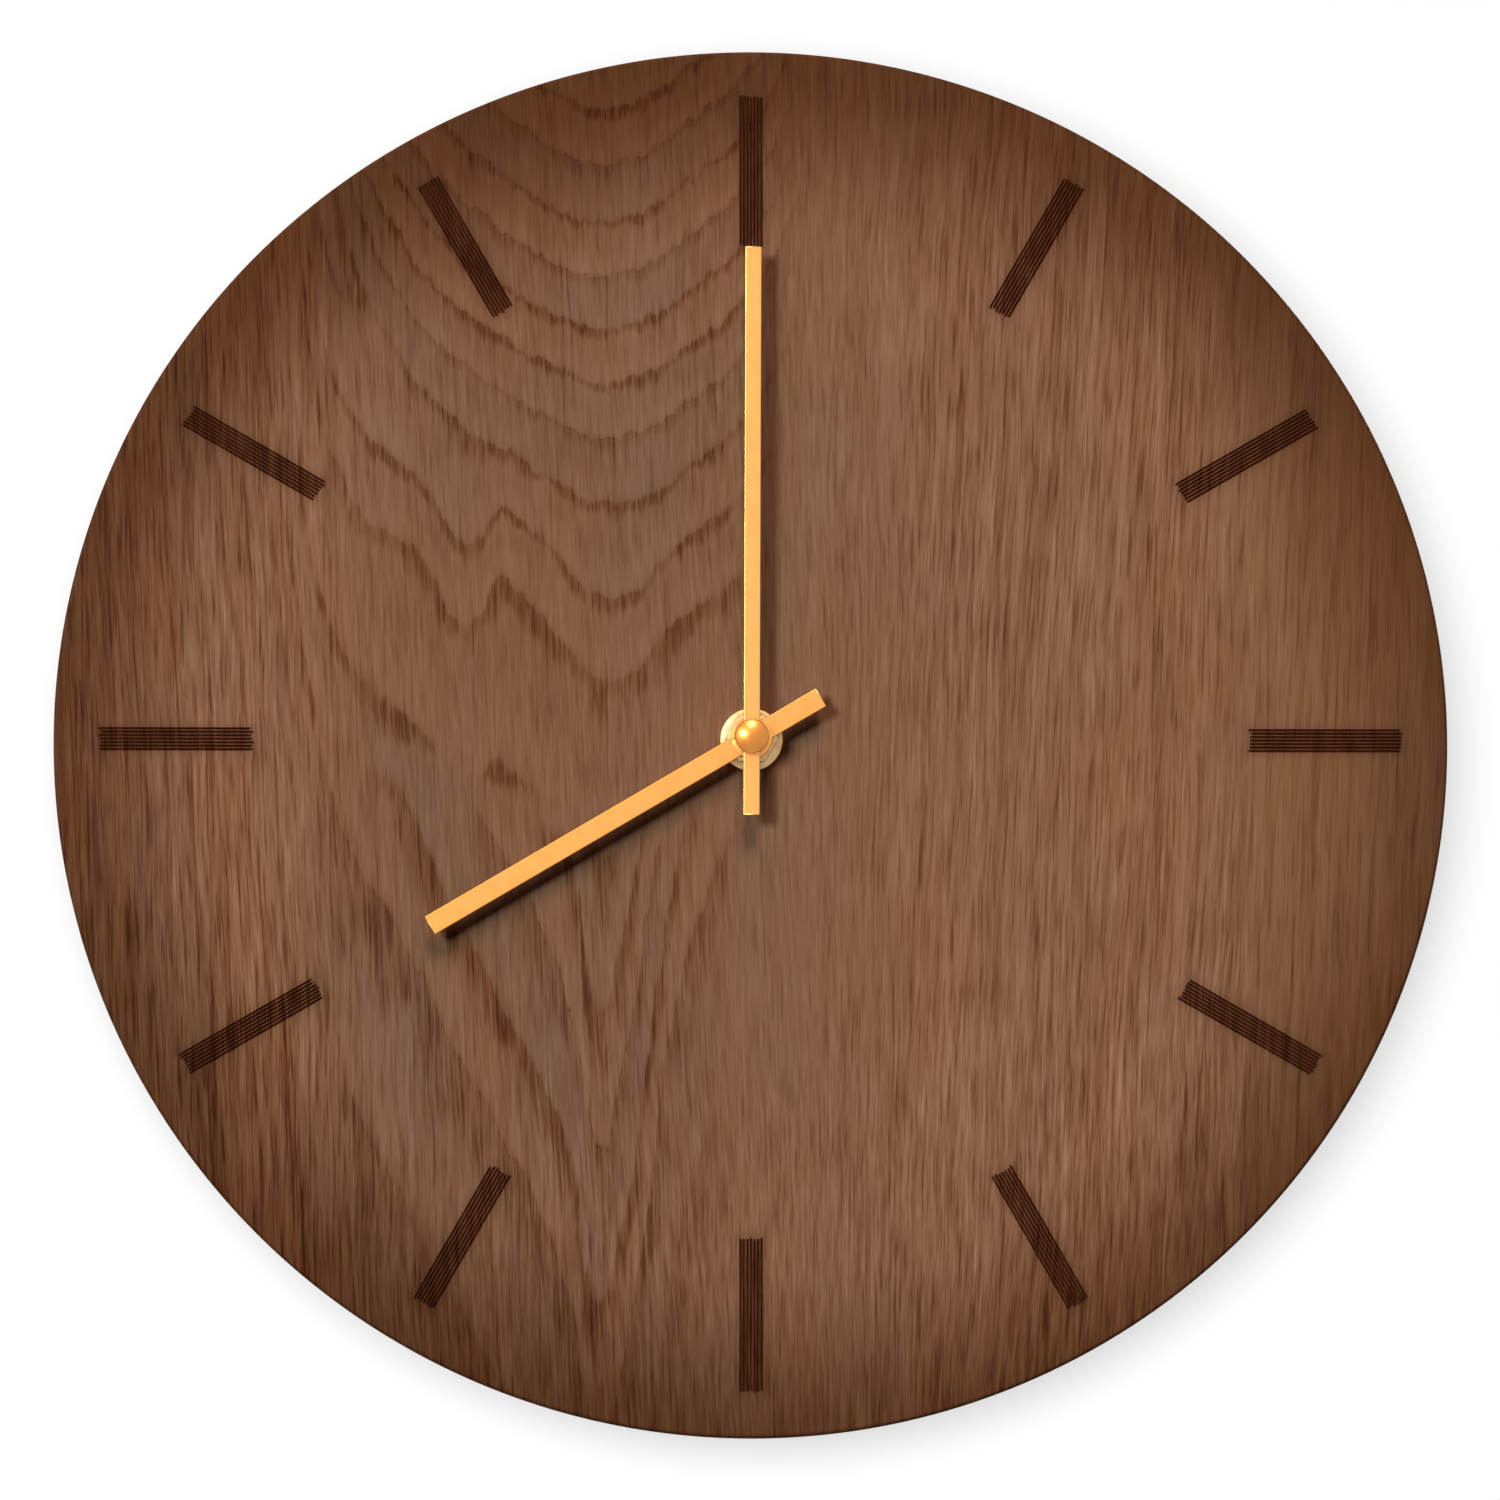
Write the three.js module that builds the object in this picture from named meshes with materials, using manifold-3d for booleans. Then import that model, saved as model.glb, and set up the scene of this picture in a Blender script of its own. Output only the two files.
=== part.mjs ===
// Wooden wall clock: an oak disc with engraved hour marks, two straight brass hands and a battery
// quartz movement let into its back, hung on a nail by a keyhole plate.
// Millimetres, +Z up. The dial faces -Y and the wall is the plane Y = 0. The origin is the point
// where the nail bears in the keyhole plate.
// Inside this file a place is given by x across and z up from the hand arbor, and by its depth,
// which is counted from the dial face towards the wall and is negative in front of the dial.
import * as THREE from "three";
import { mergeVertices } from "three/addons/utils/BufferGeometryUtils.js";
import Module from "manifold-3d";

const wasm = await Module();
wasm.setup();

// Clearances.
const SEAT = 0.1; // between two faces that are clamped together
const FIT = 0.1; // radial, between a pin and the hole that holds it
const RUN = 0.15; // radial, between an arbor and its bearing
const LAYER = 0.25; // between wheels that turn over each other
const CASE_GAP = 2; // between the movement and the sides of its pocket
const WALL_GAP = 0.4; // between the movement and the wall
const OVER = 1; // by which a cutter stands out of what it cuts
const SINK = 0.5; // by which a boss or post starts inside the wall it stands on
const EASE = 0.3; // chamfer on the edges of turned pieces
const SLIVER = 0.01; // straight edge left between two round ends

// Dial board.
const DIAL_R = 150;
const EDGE_T = 1.8; // upright part of the rim, in front of the undercut
const EDGE_ROUND = 0.8;
const BOARD_WEB = 4; // wood left in front of the movement
const POCKET_CORNER_R = 6;
const BUSH_HOLE_GAP = 0.4; // round the threaded bush, in the wood

// Hour marks: bundles of engraved grooves.
const HOURS = 12;
const MARK_OUTER_R = 140;
const MARK_LENGTH = 32.7;
const MARK_GROOVES = 7;
const GROOVE_PITCH = 0.755;
const GROOVE_W = 0.5;
const GROOVE_DEPTH = 0.35;
const GROOVE_OVER = 0.2; // by which the groove's cutter stands out of the wood

// Front hardware.
const BUSH_R = 3.7;
const BUSH_BORE_R = 2.65;
const BUSH_FLANGE_R = 5.5;
const BUSH_FLANGE_T = 0.4;
const BUSH_PROUD = 0.3; // thread that stands out of the nut
const WASHER_R = 6.75;
const WASHER_T = 1.2;
const NUT_FLATS = 9.8;
const NUT_T = 2.2;
const NUT_CHAMFER = 0.45;
const GASKET_T = 0.8;
const GASKET_R = 11;
const GASKET_GAP = 0.3; // round the bush

// Hands. The rest pose shows eight o'clock, as set by hand: the motion work has a little play.
const HAND_T = 0.7;
const HAND_BEVEL = 0.25;
const HAND_BEVEL_T = 0.2;
const MINUTE_W = 3.55;
const MINUTE_LENGTH = 106.4;
const MINUTE_TAIL = 16.8;
const HOUR_W = 4.45;
const HOUR_LENGTH = 80;
const HOUR_TAIL = 17.3;
const HOUR_EYE_R = 4.45;
const HAND_GAP = 0.6; // between the two hands
const SHOWN_HOUR = 8;
const HOUR_HAND_LAG = 0.47; // degrees short of the hour
const MINUTE_HAND_LEAD = 0.2; // degrees past twelve
const CAP_R = 3.65;
const CAP_HEIGHT = 3.4;
const CAP_SKIRT = 1.8;
const CAP_STEPS = 6;
const CAP_BORE_ROOM = 0.2; // beyond the end of the arbor's thread

// Arbors and pipes.
const PIPE_R = 2.45;
const ARBOR_R = 1.5; // minute arbor in the hour pipe
const THREAD_R = 1;
const THREAD_LENGTH = 2.3;
const FLAT_HALF = 0.8; // from the arbor's middle to its two flats
const PIVOT_R = 0.45;
const PIVOT_LENGTH = 1.2; // of the pivots in the rear cover
const PIVOT_END = 0.2; // between a pivot's end and the bottom of its hole
const PLATE_PIVOT = 0.4; // of the two pivots that meet in the middle plate
const THIN = 8; // facets of a pivot
const SHAFT_R = 0.7;
const SETTING_SHAFT_R = 0.95;

// Gear train: teeth and modules. A pinion drives the wheel that follows it.
const TEETH = {
  rotor: 8,
  fifth: 48,
  fifthPinion: 8,
  fourth: 40,
  fourthPinion: 8,
  third: 60,
  thirdPinion: 8,
  centre: 64,
  cannon: 12,
  intermediate: 36,
  intermediatePinion: 10,
  hour: 40,
};
const MODULE_ROTOR = 0.3; // rotor pinion and fifth wheel
const MODULE_FIFTH = 0.35; // fifth pinion and fourth wheel
const MODULE_THIRD = 0.3; // third pinion and centre wheel
const MODULE_SETTING = 0.475; // cannon pinion and intermediate wheel
const PRESSURE_ANGLE = THREE.MathUtils.degToRad(20);
const ADDENDUM = 0.85; // tooth height over the pitch circle, in modules
const DEDENDUM = 1.2; // tooth depth below the pitch circle, in modules
const TOOTH_SHARE = 0.38; // of the pitch that a tooth takes, so the rest is space and backlash
const WHEEL_T = 0.8;
const HOUR_WHEEL_T = 1.1;
const PINION_PROUD = 0.15; // how far a pinion passes its wheel on each side

// Directions from one arbor to the next, seen from the front.
const THIRD_ANGLE = 180;
const FIFTH_ANGLE = 110;
const ROTOR_ANGLE = 60;
const SETTING_ANGLE = 15;

// Slip clutch between the centre wheel and the minute arbor.
const CLUTCH_T = 0.2;
const CLUTCH_R = 2.6;
const CLUTCH_HUB_R = 1;
const CLUTCH_FOOT_R = 0.5;
const CLUTCH_FEET = 3;

// Movement case.
const CASE_WALL = 1.2;
const SIDE_WALL = 1.4;
const CLIP_T = 0.7; // thickness of the catches that hold the rear cover to the tray
const CLIP_W = 6;
const CLIP_REACH = 4.5;
const CLIP_HEAD = 1.2; // length of the catch's hooked end
const CLIP_HOOK = 0.5; // by which it reaches into its window
const PARTITION = 1;
const CASE_CORNER_R = 3;
const PLATE_T = 1;
const PLATE_GAP = 0.2; // between the middle plate and the case
const PLATE_CORNER = 2.1; // from the middle plate's edges to its posts
const POST_R = 1.5;
const PEG_R = 0.8;
const PEG_PROUD = 0.5; // of a peg through the plate that it holds
const BOSS_R = 1.2;
const SMALL_BOSS_WALL = 0.35;
const BAY_WALL = 0.9;
const BAY_GAP = 0.2;
const BAY_LIP = 0.9; // by which the rear cover overlaps the cell all round
const STRIP_ROOM = 0.7; // between the lowest wheel and the contact strip
const TOP_ROOM = 3.2; // above the stator

// Battery, AA size.
const CELL_R = 7.1;
const CELL_LENGTH = 50.5;
const CELL_NUB = 1.3;
const CELL_NUB_R = 2.7;
const CELL_END_T = 0.5; // of the cap's plate, with the gap behind it
const CELL_END_RIM = 0.8; // from the plate's edge to the side of the cell
const CONTACT_T = 0.3;
const CONTACT_ROOM = 2.7; // beyond the cell's two ends, for both contacts
const CONTACT_W = 8;
const STRIP_W = 2.6;
const STRIP_LAP = 2; // by which a strip overlaps the circuit board
const LEAF_W = 1.2; // of the negative contact's bowed leaf at its two roots
const LEAF_CURVE = 1.3; // how far the leaf's hollow is drawn towards the cell, in bows

// Stepping motor.
const MAGNET_R = 3;
const MAGNET_T = 1.9;
const AIR_GAP = 0.45;
const STATOR_RING = 2.75; // width of iron round the magnet
const STATOR_T = 1;
const STATOR_STAND = 0.85; // over the middle plate
const CORE_W = 2.6;
const CORE_T = 0.8;
const CORE_INSET = 0.4; // of the core's ends from the arms' outer edges
const COIL_R = 3.5;
const FLANGE_HALF = 3.9;
const FLANGE_T = 0.8;
const COIL_LENGTH = 13.2;
const COIL_GAP = 0.4; // between the bobbin and its neighbours
const COIL_DROP = 2; // of the coil's lower end below the stator's ring
const SPOOL_WALL = 0.6;
const ARM_W = 3.2;
const ARM_GAP = 0.2; // between the coil and the arms
const ARM_PAST = 0.9; // of the arms beyond the core
const ARM_EAR = 2.4; // iron round a peg hole
const ARM_BITE = 0.6; // by which an arm runs into the ring
const ARM_SLOT = 1.5; // half of the gap between the two arms at the ring
const PEG_INSET_UPPER = 4.2; // from the middle plate's right edge
const PEG_INSET_LOWER = 3.2;
const PEG_DROP = 0.9; // of the lower peg below the ring
const PEG_COLLAR = 0.7; // width of the shoulder that carries the stator
const STATOR_PEG_PROUD = 0.4;

// Circuit board.
const BOARD_W = 13.3;
const BOARD_H = 14.8;
const PCB_T = 0.8;
const PCB_SIDE = 0.6; // from the middle plate's side
const PCB_TOP = 0.3; // from the middle plate's top
const CHIP_R = 2.8;
const CHIP_H = 1.1;
const CHIP_STEPS = 3;
const CHIP_RISE = 9.2; // from the board's lower edge
const CRYSTAL_R = 1;
const CRYSTAL_LENGTH = 6;
const CRYSTAL_SHIFT = 1.5; // right of the board's middle
const CRYSTAL_RISE = 1; // over the board's lower edge

// Setting knob.
const KNOB_R = 5;
const KNOB_T = 2.4;
const KNOB_FLUTES = 16;
const FLUTE_DEPTH = 0.4;
const KNOB_ROOM = 0.5;
const KNOB_WEB = 0.3; // left behind the knob's bore
const RECESS_WALL = 0.9;
const SETTING_PIVOT = 0.6; // length of the setting arbor's front pivot

// Keyhole hanger.
const HANG_HEIGHT = 95; // from the arbor up to the nail
const HANGER_W = 46;
const HANGER_H = 22;
const HANGER_T = 1.2;
const HANGER_DROP = 6; // plate's middle below the nail
const KEY_SLOT_R = 2.1;
const KEY_HOLE_R = 4.5;
const KEY_TRAVEL = 6.5; // from the round hole up to the slot's end
const HANGER_GAP = 0.2; // round the plate, in its recess
const NAIL_ROOM_R = 6; // half the width of the recess for the nail's head
const NAIL_ROOM_DEPTH = 6.5;
const NAIL_RISE = 1; // of that recess over the slot's upper centre
const SCREW_SPREAD = 34;
const SCREW_R = 1.5;
const SCREW_HEAD_R = 3;
const SCREW_LENGTH = 13;
const SCREW_POINT = 2.5;
const PILOT_ROOM = 0.5; // beyond a screw's tip

// Facets of round faces.
const FINE = 96;
const ROUND = 28;
const SMALL = 12;
const CORNER_STEPS = 4;

// Depths, from the dial back to the wall.
const gasketFront = BOARD_WEB + SEAT;
const caseFront = gasketFront + GASKET_T + SEAT;
const caseDepth = BAY_WALL + 2 * CELL_R + 2 * BAY_GAP + SEAT;
const caseBack = caseFront + caseDepth;
const boardT = caseBack + WALL_GAP;
const innerFront = caseFront + CASE_WALL;
const innerBack = caseBack - CASE_WALL;
const cellDepth = caseFront + BAY_WALL + BAY_GAP + CELL_R;
const flangeFront = innerFront + SEAT;
const hourWheelFront = flangeFront + BUSH_FLANGE_T + LAYER;
const hourWheelBack = hourWheelFront + HOUR_WHEEL_T;
const settingFront = hourWheelBack + LAYER;
const settingBack = settingFront + WHEEL_T;
const clutchFront = settingBack + SEAT;
const centreFront = clutchFront + 2 * CLUTCH_T + SEAT;
const centreBack = centreFront + WHEEL_T;
const plateFront = centreBack + PINION_PROUD + LAYER;
const plateBack = plateFront + PLATE_T;
const thirdFront = plateBack + LAYER + PINION_PROUD;
const thirdBack = thirdFront + WHEEL_T;
const fourthFront = thirdBack + LAYER + PINION_PROUD;
const fourthBack = fourthFront + WHEEL_T;
const fifthFront = fourthBack + LAYER + PINION_PROUD;
const fifthBack = fifthFront + WHEEL_T;
const bossFront = fifthBack + LAYER + 2 * PINION_PROUD;
const pivotBack = bossFront + PIVOT_LENGTH;
const statorFront = plateBack + STATOR_STAND;
const statorBack = statorFront + STATOR_T;
const magnetFront = (statorFront + statorBack - MAGNET_T) / 2;
const coreFront = statorBack + SEAT;
const coilDepth = coreFront + CORE_T / 2;
const pcbFront = plateBack + SEAT;
const pcbBack = pcbFront + PCB_T;
const splitDepth = plateFront - SEAT;
const knobBack = caseBack - SEAT;
const knobFront = knobBack - KNOB_T;
const recessFloor = knobFront - SEAT;

// Depths in front of the dial.
const washerBack = -SEAT;
const nutBack = washerBack - WASHER_T - SEAT;
const nutFront = nutBack - NUT_T;
const bushFront = nutFront - BUSH_PROUD;
const hourHandBack = bushFront - LAYER;
const hourHandFront = hourHandBack - HAND_T;
const pipeFront = hourHandFront - SEAT;
const minuteHandBack = hourHandFront - HAND_GAP;
const minuteHandFront = minuteHandBack - HAND_T;
const capBack = minuteHandFront - SEAT;
const capFront = capBack - CAP_HEIGHT;
const threadFront = capBack - THREAD_LENGTH;

// Places of the arbors, as [x, z] from the hand arbor.
const polar = (distance, degrees) => {
  const a = THREE.MathUtils.degToRad(degrees);
  return [distance * Math.cos(a), distance * Math.sin(a)];
};
const shifted = (from, by) => [from[0] + by[0], from[1] + by[1]];
const spacing = (module, teethA, teethB) => (module * (teethA + teethB)) / 2;

const CENTRE = [0, 0];
const thirdSpacing = spacing(MODULE_THIRD, TEETH.thirdPinion, TEETH.centre);
const moduleFourth = (2 * thirdSpacing) / (TEETH.fourthPinion + TEETH.third);
const settingSpacing = spacing(MODULE_SETTING, TEETH.cannon, TEETH.intermediate);
const moduleHour = (2 * settingSpacing) / (TEETH.intermediatePinion + TEETH.hour);
const third = polar(thirdSpacing, THIRD_ANGLE);
const fifth = polar(spacing(MODULE_FIFTH, TEETH.fifthPinion, TEETH.fourth), FIFTH_ANGLE);
const rotor = shifted(fifth, polar(spacing(MODULE_ROTOR, TEETH.rotor, TEETH.fifth), ROTOR_ANGLE));
const setting = polar(settingSpacing, SETTING_ANGLE);

const tipRadius = (module, teeth) => module * (teeth / 2 + ADDENDUM);

// Plan of the movement case, from what it holds.
const innerHalf = (CELL_LENGTH + CONTACT_ROOM) / 2;
const caseHalf = innerHalf + SIDE_WALL;
const lowestWheel = Math.max(
  tipRadius(MODULE_THIRD, TEETH.centre),
  tipRadius(moduleFourth, TEETH.third),
  tipRadius(moduleHour, TEETH.hour),
);
const chamberFloor = -(lowestWheel + 3 * SEAT + CONTACT_T + STRIP_ROOM);
const bayTop = chamberFloor - PARTITION;
const cellZ = bayTop - BAY_GAP - CELL_R;
const bayFloor = cellZ - CELL_R - BAY_GAP;
const caseBottom = bayFloor - CASE_WALL;
const statorRingR = MAGNET_R + AIR_GAP + STATOR_RING;
const coilBottom = rotor[1] - statorRingR - COIL_DROP;
const coilTop = coilBottom + COIL_LENGTH;
const coilX = innerHalf - COIL_GAP - FLANGE_HALF;
const chamberTop = coilTop + ARM_W + TOP_ROOM;
const caseTop = chamberTop + SIDE_WALL;
const plateRight = coilX - FLANGE_HALF - COIL_GAP;
const plateLeft = -innerHalf + PLATE_GAP;
const plateBottom = chamberFloor + CONTACT_T + 3 * SEAT;
const plateTop = chamberTop - PLATE_GAP;
const pcbLeft = plateLeft + PCB_SIDE;
const pcbTop = plateTop - PCB_TOP;
const posts = [
  [plateLeft + PLATE_CORNER, plateBottom + PLATE_CORNER],
  [plateRight - PLATE_CORNER, plateBottom + PLATE_CORNER],
  [plateLeft + PLATE_CORNER, plateTop - PLATE_CORNER],
  [plateRight - PLATE_CORNER, plateTop - PLATE_CORNER],
];

// Solids. Each helper returns a closed manifold, in place.
const yOf = (depth) => depth - boardT;

function volumeSign(position, index) {
  const [a, b, c] = [new THREE.Vector3(), new THREE.Vector3(), new THREE.Vector3()];
  let volume = 0;
  for (let i = 0; i < index.length; i += 3) {
    a.fromArray(position, 3 * index[i]);
    b.fromArray(position, 3 * index[i + 1]);
    c.fromArray(position, 3 * index[i + 2]);
    volume += a.dot(b.cross(c));
  }
  return Math.sign(volume);
}

function solid(geometry) {
  const bare = new THREE.BufferGeometry();
  bare.setAttribute("position", geometry.getAttribute("position"));
  if (geometry.index) bare.setIndex(geometry.index);
  const merged = mergeVertices(bare, 1e-4);
  const position = merged.attributes.position.array;
  const triVerts = new Uint32Array(merged.index.array);
  // A profile that runs the other way gives faces that point inwards, so they are turned.
  if (volumeSign(position, triVerts) < 0) triVerts.reverse();
  return new wasm.Manifold(new wasm.Mesh({ numProp: 3, vertProperties: position, triVerts }));
}

// A flat outline, drawn as x across and z up, made solid between two depths.
function slab(shape, front, back, curveSegments = 6) {
  const geometry = new THREE.ExtrudeGeometry(shape, {
    depth: back - front,
    bevelEnabled: false,
    curveSegments,
  });
  geometry.rotateX(Math.PI / 2).translate(0, yOf(back), 0);
  return solid(geometry);
}

function bar(x1, x2, z1, z2, front, back) {
  const box = new THREE.BoxGeometry(x2 - x1, back - front, z2 - z1);
  box.translate((x1 + x2) / 2, yOf((front + back) / 2), (z1 + z2) / 2);
  return solid(box);
}

function disc([x, z], radius, front, back, segments = SMALL) {
  const geometry = new THREE.CylinderGeometry(radius, radius, back - front, segments);
  geometry.translate(x, yOf((front + back) / 2), z);
  return solid(geometry);
}

// A turned piece: its profile is a list of [radius, depth], closed on the axis or on itself.
function turned([x, z], profile, segments = ROUND) {
  const points = profile.map(([radius, depth]) => new THREE.Vector2(radius, yOf(depth)));
  const geometry = new THREE.LatheGeometry(points, segments);
  geometry.translate(x, 0, z);
  return solid(geometry);
}

// A round hole's cutter, which stands out at both ends.
function drill(spot, radius, front, back, segments = SMALL) {
  return disc(spot, radius, front - OVER, back + OVER, segments);
}

function ring(spot, inner, outer, front, back) {
  return disc(spot, outer, front, back, ROUND).subtract(drill(spot, inner, front, back, ROUND));
}

const union = (...parts) => parts.reduce((all, part) => all.add(part));

function polygon(points) {
  return new THREE.Shape(points.map(([x, z]) => new THREE.Vector2(x, z)));
}

function roundedRect(x1, x2, z1, z2, r) {
  const shape = new THREE.Shape();
  shape.moveTo(x1 + r, z1);
  shape.lineTo(x2 - r, z1);
  shape.absarc(x2 - r, z1 + r, r, -Math.PI / 2, 0);
  shape.lineTo(x2, z2 - r);
  shape.absarc(x2 - r, z2 - r, r, 0, Math.PI / 2);
  shape.lineTo(x1 + r, z2);
  shape.absarc(x1 + r, z2 - r, r, Math.PI / 2, Math.PI);
  shape.lineTo(x1, z1 + r);
  shape.absarc(x1 + r, z1 + r, r, Math.PI, 1.5 * Math.PI);
  return shape;
}

// A round-ended slot that stands upright, between the centres of its two ends.
function uprightSlot(x, z1, z2, r) {
  const shape = new THREE.Shape();
  shape.absarc(x, z2, r, 0, Math.PI);
  shape.absarc(x, z1, r, Math.PI, 2 * Math.PI);
  return shape;
}

// A copy turned about the hand arbor, clockwise as the clock's face shows it.
function clockwise(part, degrees) {
  return part.rotate([0, degrees, 0]);
}

// Gears. The flank is an involute above the base circle and runs straight to the root below it.
const involute = (angle) => Math.tan(angle) - angle;

// Half the angle that a tooth fills at the given radius.
function halfTooth(teeth, module, radius) {
  const pitchR = (module * teeth) / 2;
  const baseR = pitchR * Math.cos(PRESSURE_ANGLE);
  const angle = Math.acos(Math.min(1, baseR / radius));
  return (Math.PI * TOOTH_SHARE) / teeth + involute(PRESSURE_ANGLE) - involute(angle);
}

// The outline of a gear with one tooth pointing at the given angle, in radians.
function gearShape([x, z], teeth, module, pointing, flankSteps) {
  const rootR = module * (teeth / 2 - DEDENDUM);
  const tipR = tipRadius(module, teeth);
  const points = [];
  const add = (radius, angle) => {
    points.push([x + radius * Math.cos(angle), z + radius * Math.sin(angle)]);
  };
  for (let tooth = 0; tooth < teeth; tooth++) {
    const middle = pointing + (tooth * 2 * Math.PI) / teeth;
    for (let step = 0; step <= flankSteps; step++) {
      const radius = THREE.MathUtils.lerp(rootR, tipR, step / flankSteps);
      add(radius, middle - halfTooth(teeth, module, radius));
    }
    for (let step = flankSteps; step >= 0; step--) {
      const radius = THREE.MathUtils.lerp(rootR, tipR, step / flankSteps);
      add(radius, middle + halfTooth(teeth, module, radius));
    }
  }
  return polygon(points);
}

// Which way a tooth of the driver points, and which way one of the follower does, so that they mesh.
function meshed(driverAt, followerAt, followerTeeth) {
  const line = Math.atan2(followerAt[1] - driverAt[1], followerAt[0] - driverAt[0]);
  return { driver: line, follower: line + Math.PI + Math.PI / followerTeeth };
}

const WHEEL_STEPS = 1;
const PINION_STEPS = 2;

function wheel(spot, teeth, module, pointing, front, back) {
  return slab(gearShape(spot, teeth, module, pointing, WHEEL_STEPS), front, back);
}

function pinion(spot, teeth, module, pointing, front, back) {
  return slab(gearShape(spot, teeth, module, pointing, PINION_STEPS), front, back);
}

const meshRotor = meshed(rotor, fifth, TEETH.fifth);
const meshFifth = meshed(fifth, CENTRE, TEETH.fourth);
const meshFourth = meshed(CENTRE, third, TEETH.third);
const meshThird = meshed(third, CENTRE, TEETH.centre);
const meshCannon = meshed(CENTRE, setting, TEETH.intermediate);
const meshSetting = meshed(setting, CENTRE, TEETH.hour);

// Dial board.

// The seven grooves of one hour mark, cut as one V-shaped tool per groove, at twelve o'clock.
function hourMark() {
  const half = (GROOVE_W / 2) * (1 + GROOVE_OVER / GROOVE_DEPTH);
  const section = polygon([[-half, GROOVE_OVER], [0, -GROOVE_DEPTH], [half, GROOVE_OVER]]);
  const grooves = [];
  for (let i = 0; i < MARK_GROOVES; i++) {
    const tool = new THREE.ExtrudeGeometry(section, { depth: MARK_LENGTH, bevelEnabled: false });
    const x = (i - (MARK_GROOVES - 1) / 2) * GROOVE_PITCH;
    tool.rotateZ(Math.PI).translate(x, yOf(0), MARK_OUTER_R - MARK_LENGTH);
    grooves.push(solid(tool));
  }
  return union(...grooves);
}

const hangerMiddle = HANG_HEIGHT - HANGER_DROP;
const keySlotTop = HANG_HEIGHT - KEY_SLOT_R;
const keyHoleZ = keySlotTop - KEY_TRAVEL;
const hangerFront = boardT - HANGER_T - SEAT;
const screwSpot = (side) => [(side * SCREW_SPREAD) / 2, hangerMiddle];

function hangerOutline(grow) {
  const [w, h] = [HANGER_W / 2 + grow, HANGER_H / 2 + grow];
  return roundedRect(-w, w, hangerMiddle - h, hangerMiddle + h, h - SLIVER);
}

function dialBoard() {
  const undercut = boardT - EDGE_T;
  const disk = turned(CENTRE, [
    [0, 0],
    [DIAL_R - EDGE_ROUND, 0],
    [DIAL_R, EDGE_ROUND],
    [DIAL_R, EDGE_T],
    [DIAL_R - undercut, boardT],
    [0, boardT],
  ], FINE);
  const pocket = slab(
    roundedRect(
      -caseHalf - CASE_GAP,
      caseHalf + CASE_GAP,
      caseBottom - CASE_GAP,
      caseTop + CASE_GAP,
      POCKET_CORNER_R,
    ),
    BOARD_WEB,
    boardT + OVER,
    CORNER_STEPS,
  );
  const rebate = slab(hangerOutline(HANGER_GAP), hangerFront - SEAT, boardT + OVER);
  const nailRoom = slab(
    uprightSlot(0, keyHoleZ, keySlotTop + NAIL_RISE, NAIL_ROOM_R),
    hangerFront - NAIL_ROOM_DEPTH,
    boardT,
  );
  let board = disk
    .subtract(drill(CENTRE, BUSH_R + BUSH_HOLE_GAP, 0, boardT, ROUND))
    .subtract(pocket)
    .subtract(rebate)
    .subtract(nailRoom);
  for (const side of [-1, 1]) {
    const pilotFront = boardT - SCREW_LENGTH - PILOT_ROOM;
    board = board.subtract(disc(screwSpot(side), SCREW_R + FIT, pilotFront, boardT));
  }
  const mark = hourMark();
  for (let hour = 0; hour < HOURS; hour++) {
    board = board.subtract(clockwise(mark, (hour * 360) / HOURS));
  }
  return board;
}

// Front hardware.

function threadedBush() {
  return turned(CENTRE, [
    [BUSH_BORE_R, bushFront],
    [BUSH_R - EASE, bushFront],
    [BUSH_R, bushFront + EASE],
    [BUSH_R, flangeFront],
    [BUSH_FLANGE_R, flangeFront],
    [BUSH_FLANGE_R, flangeFront + BUSH_FLANGE_T],
    [BUSH_BORE_R, flangeFront + BUSH_FLANGE_T],
    [BUSH_BORE_R, bushFront],
  ]);
}

function frontWasher() {
  return turned(CENTRE, [
    [BUSH_R + FIT, washerBack],
    [BUSH_R + FIT, washerBack - WASHER_T],
    [WASHER_R - EASE, washerBack - WASHER_T],
    [WASHER_R, washerBack - WASHER_T + EASE],
    [WASHER_R, washerBack],
    [BUSH_R + FIT, washerBack],
  ]);
}

// The nut's corners are chamfered by a cone.
function hexNut() {
  const corner = NUT_FLATS / 2 / Math.cos(Math.PI / 6);
  const hexagon = disc(CENTRE, corner, nutFront, nutBack, 6).rotate([0, 30, 0]);
  const chamfer = turned(CENTRE, [
    [0, nutFront],
    [NUT_FLATS / 2, nutFront],
    [corner, nutFront + NUT_CHAMFER],
    [corner + OVER, nutFront + NUT_CHAMFER],
    [corner + OVER, nutBack],
    [0, nutBack],
  ]);
  const bore = drill(CENTRE, BUSH_R + FIT, nutFront, nutBack, ROUND);
  return hexagon.intersect(chamfer).subtract(bore);
}

function rubberGasket() {
  return ring(CENTRE, BUSH_R + GASKET_GAP, GASKET_R, gasketFront, gasketFront + GASKET_T);
}

// Hands: a straight bar whose two long edges are bevelled.

function handBar(width, length, tail, front, back) {
  const half = width / 2;
  const section = polygon([
    [-half, 0],
    [half, 0],
    [half, HAND_T - HAND_BEVEL_T],
    [half - HAND_BEVEL, HAND_T],
    [-half + HAND_BEVEL, HAND_T],
    [-half, HAND_T - HAND_BEVEL_T],
  ]);
  const geometry = new THREE.ExtrudeGeometry(section, {
    depth: length + tail,
    bevelEnabled: false,
  });
  geometry.rotateZ(Math.PI).translate(0, yOf(back), -tail);
  return solid(geometry).intersect(bar(-width, width, -tail, length, front, back));
}

// The end of the minute arbor has two flats, and so has the hole that sits on it.
function flatted(grow, front, back) {
  const flat = FLAT_HALF + grow;
  const shank = disc(CENTRE, THREAD_R + grow, front, back);
  const wide = 2 * THREAD_R;
  return clockwise(shank.intersect(bar(-wide, wide, -flat, flat, front, back)), MINUTE_HAND_LEAD);
}

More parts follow.
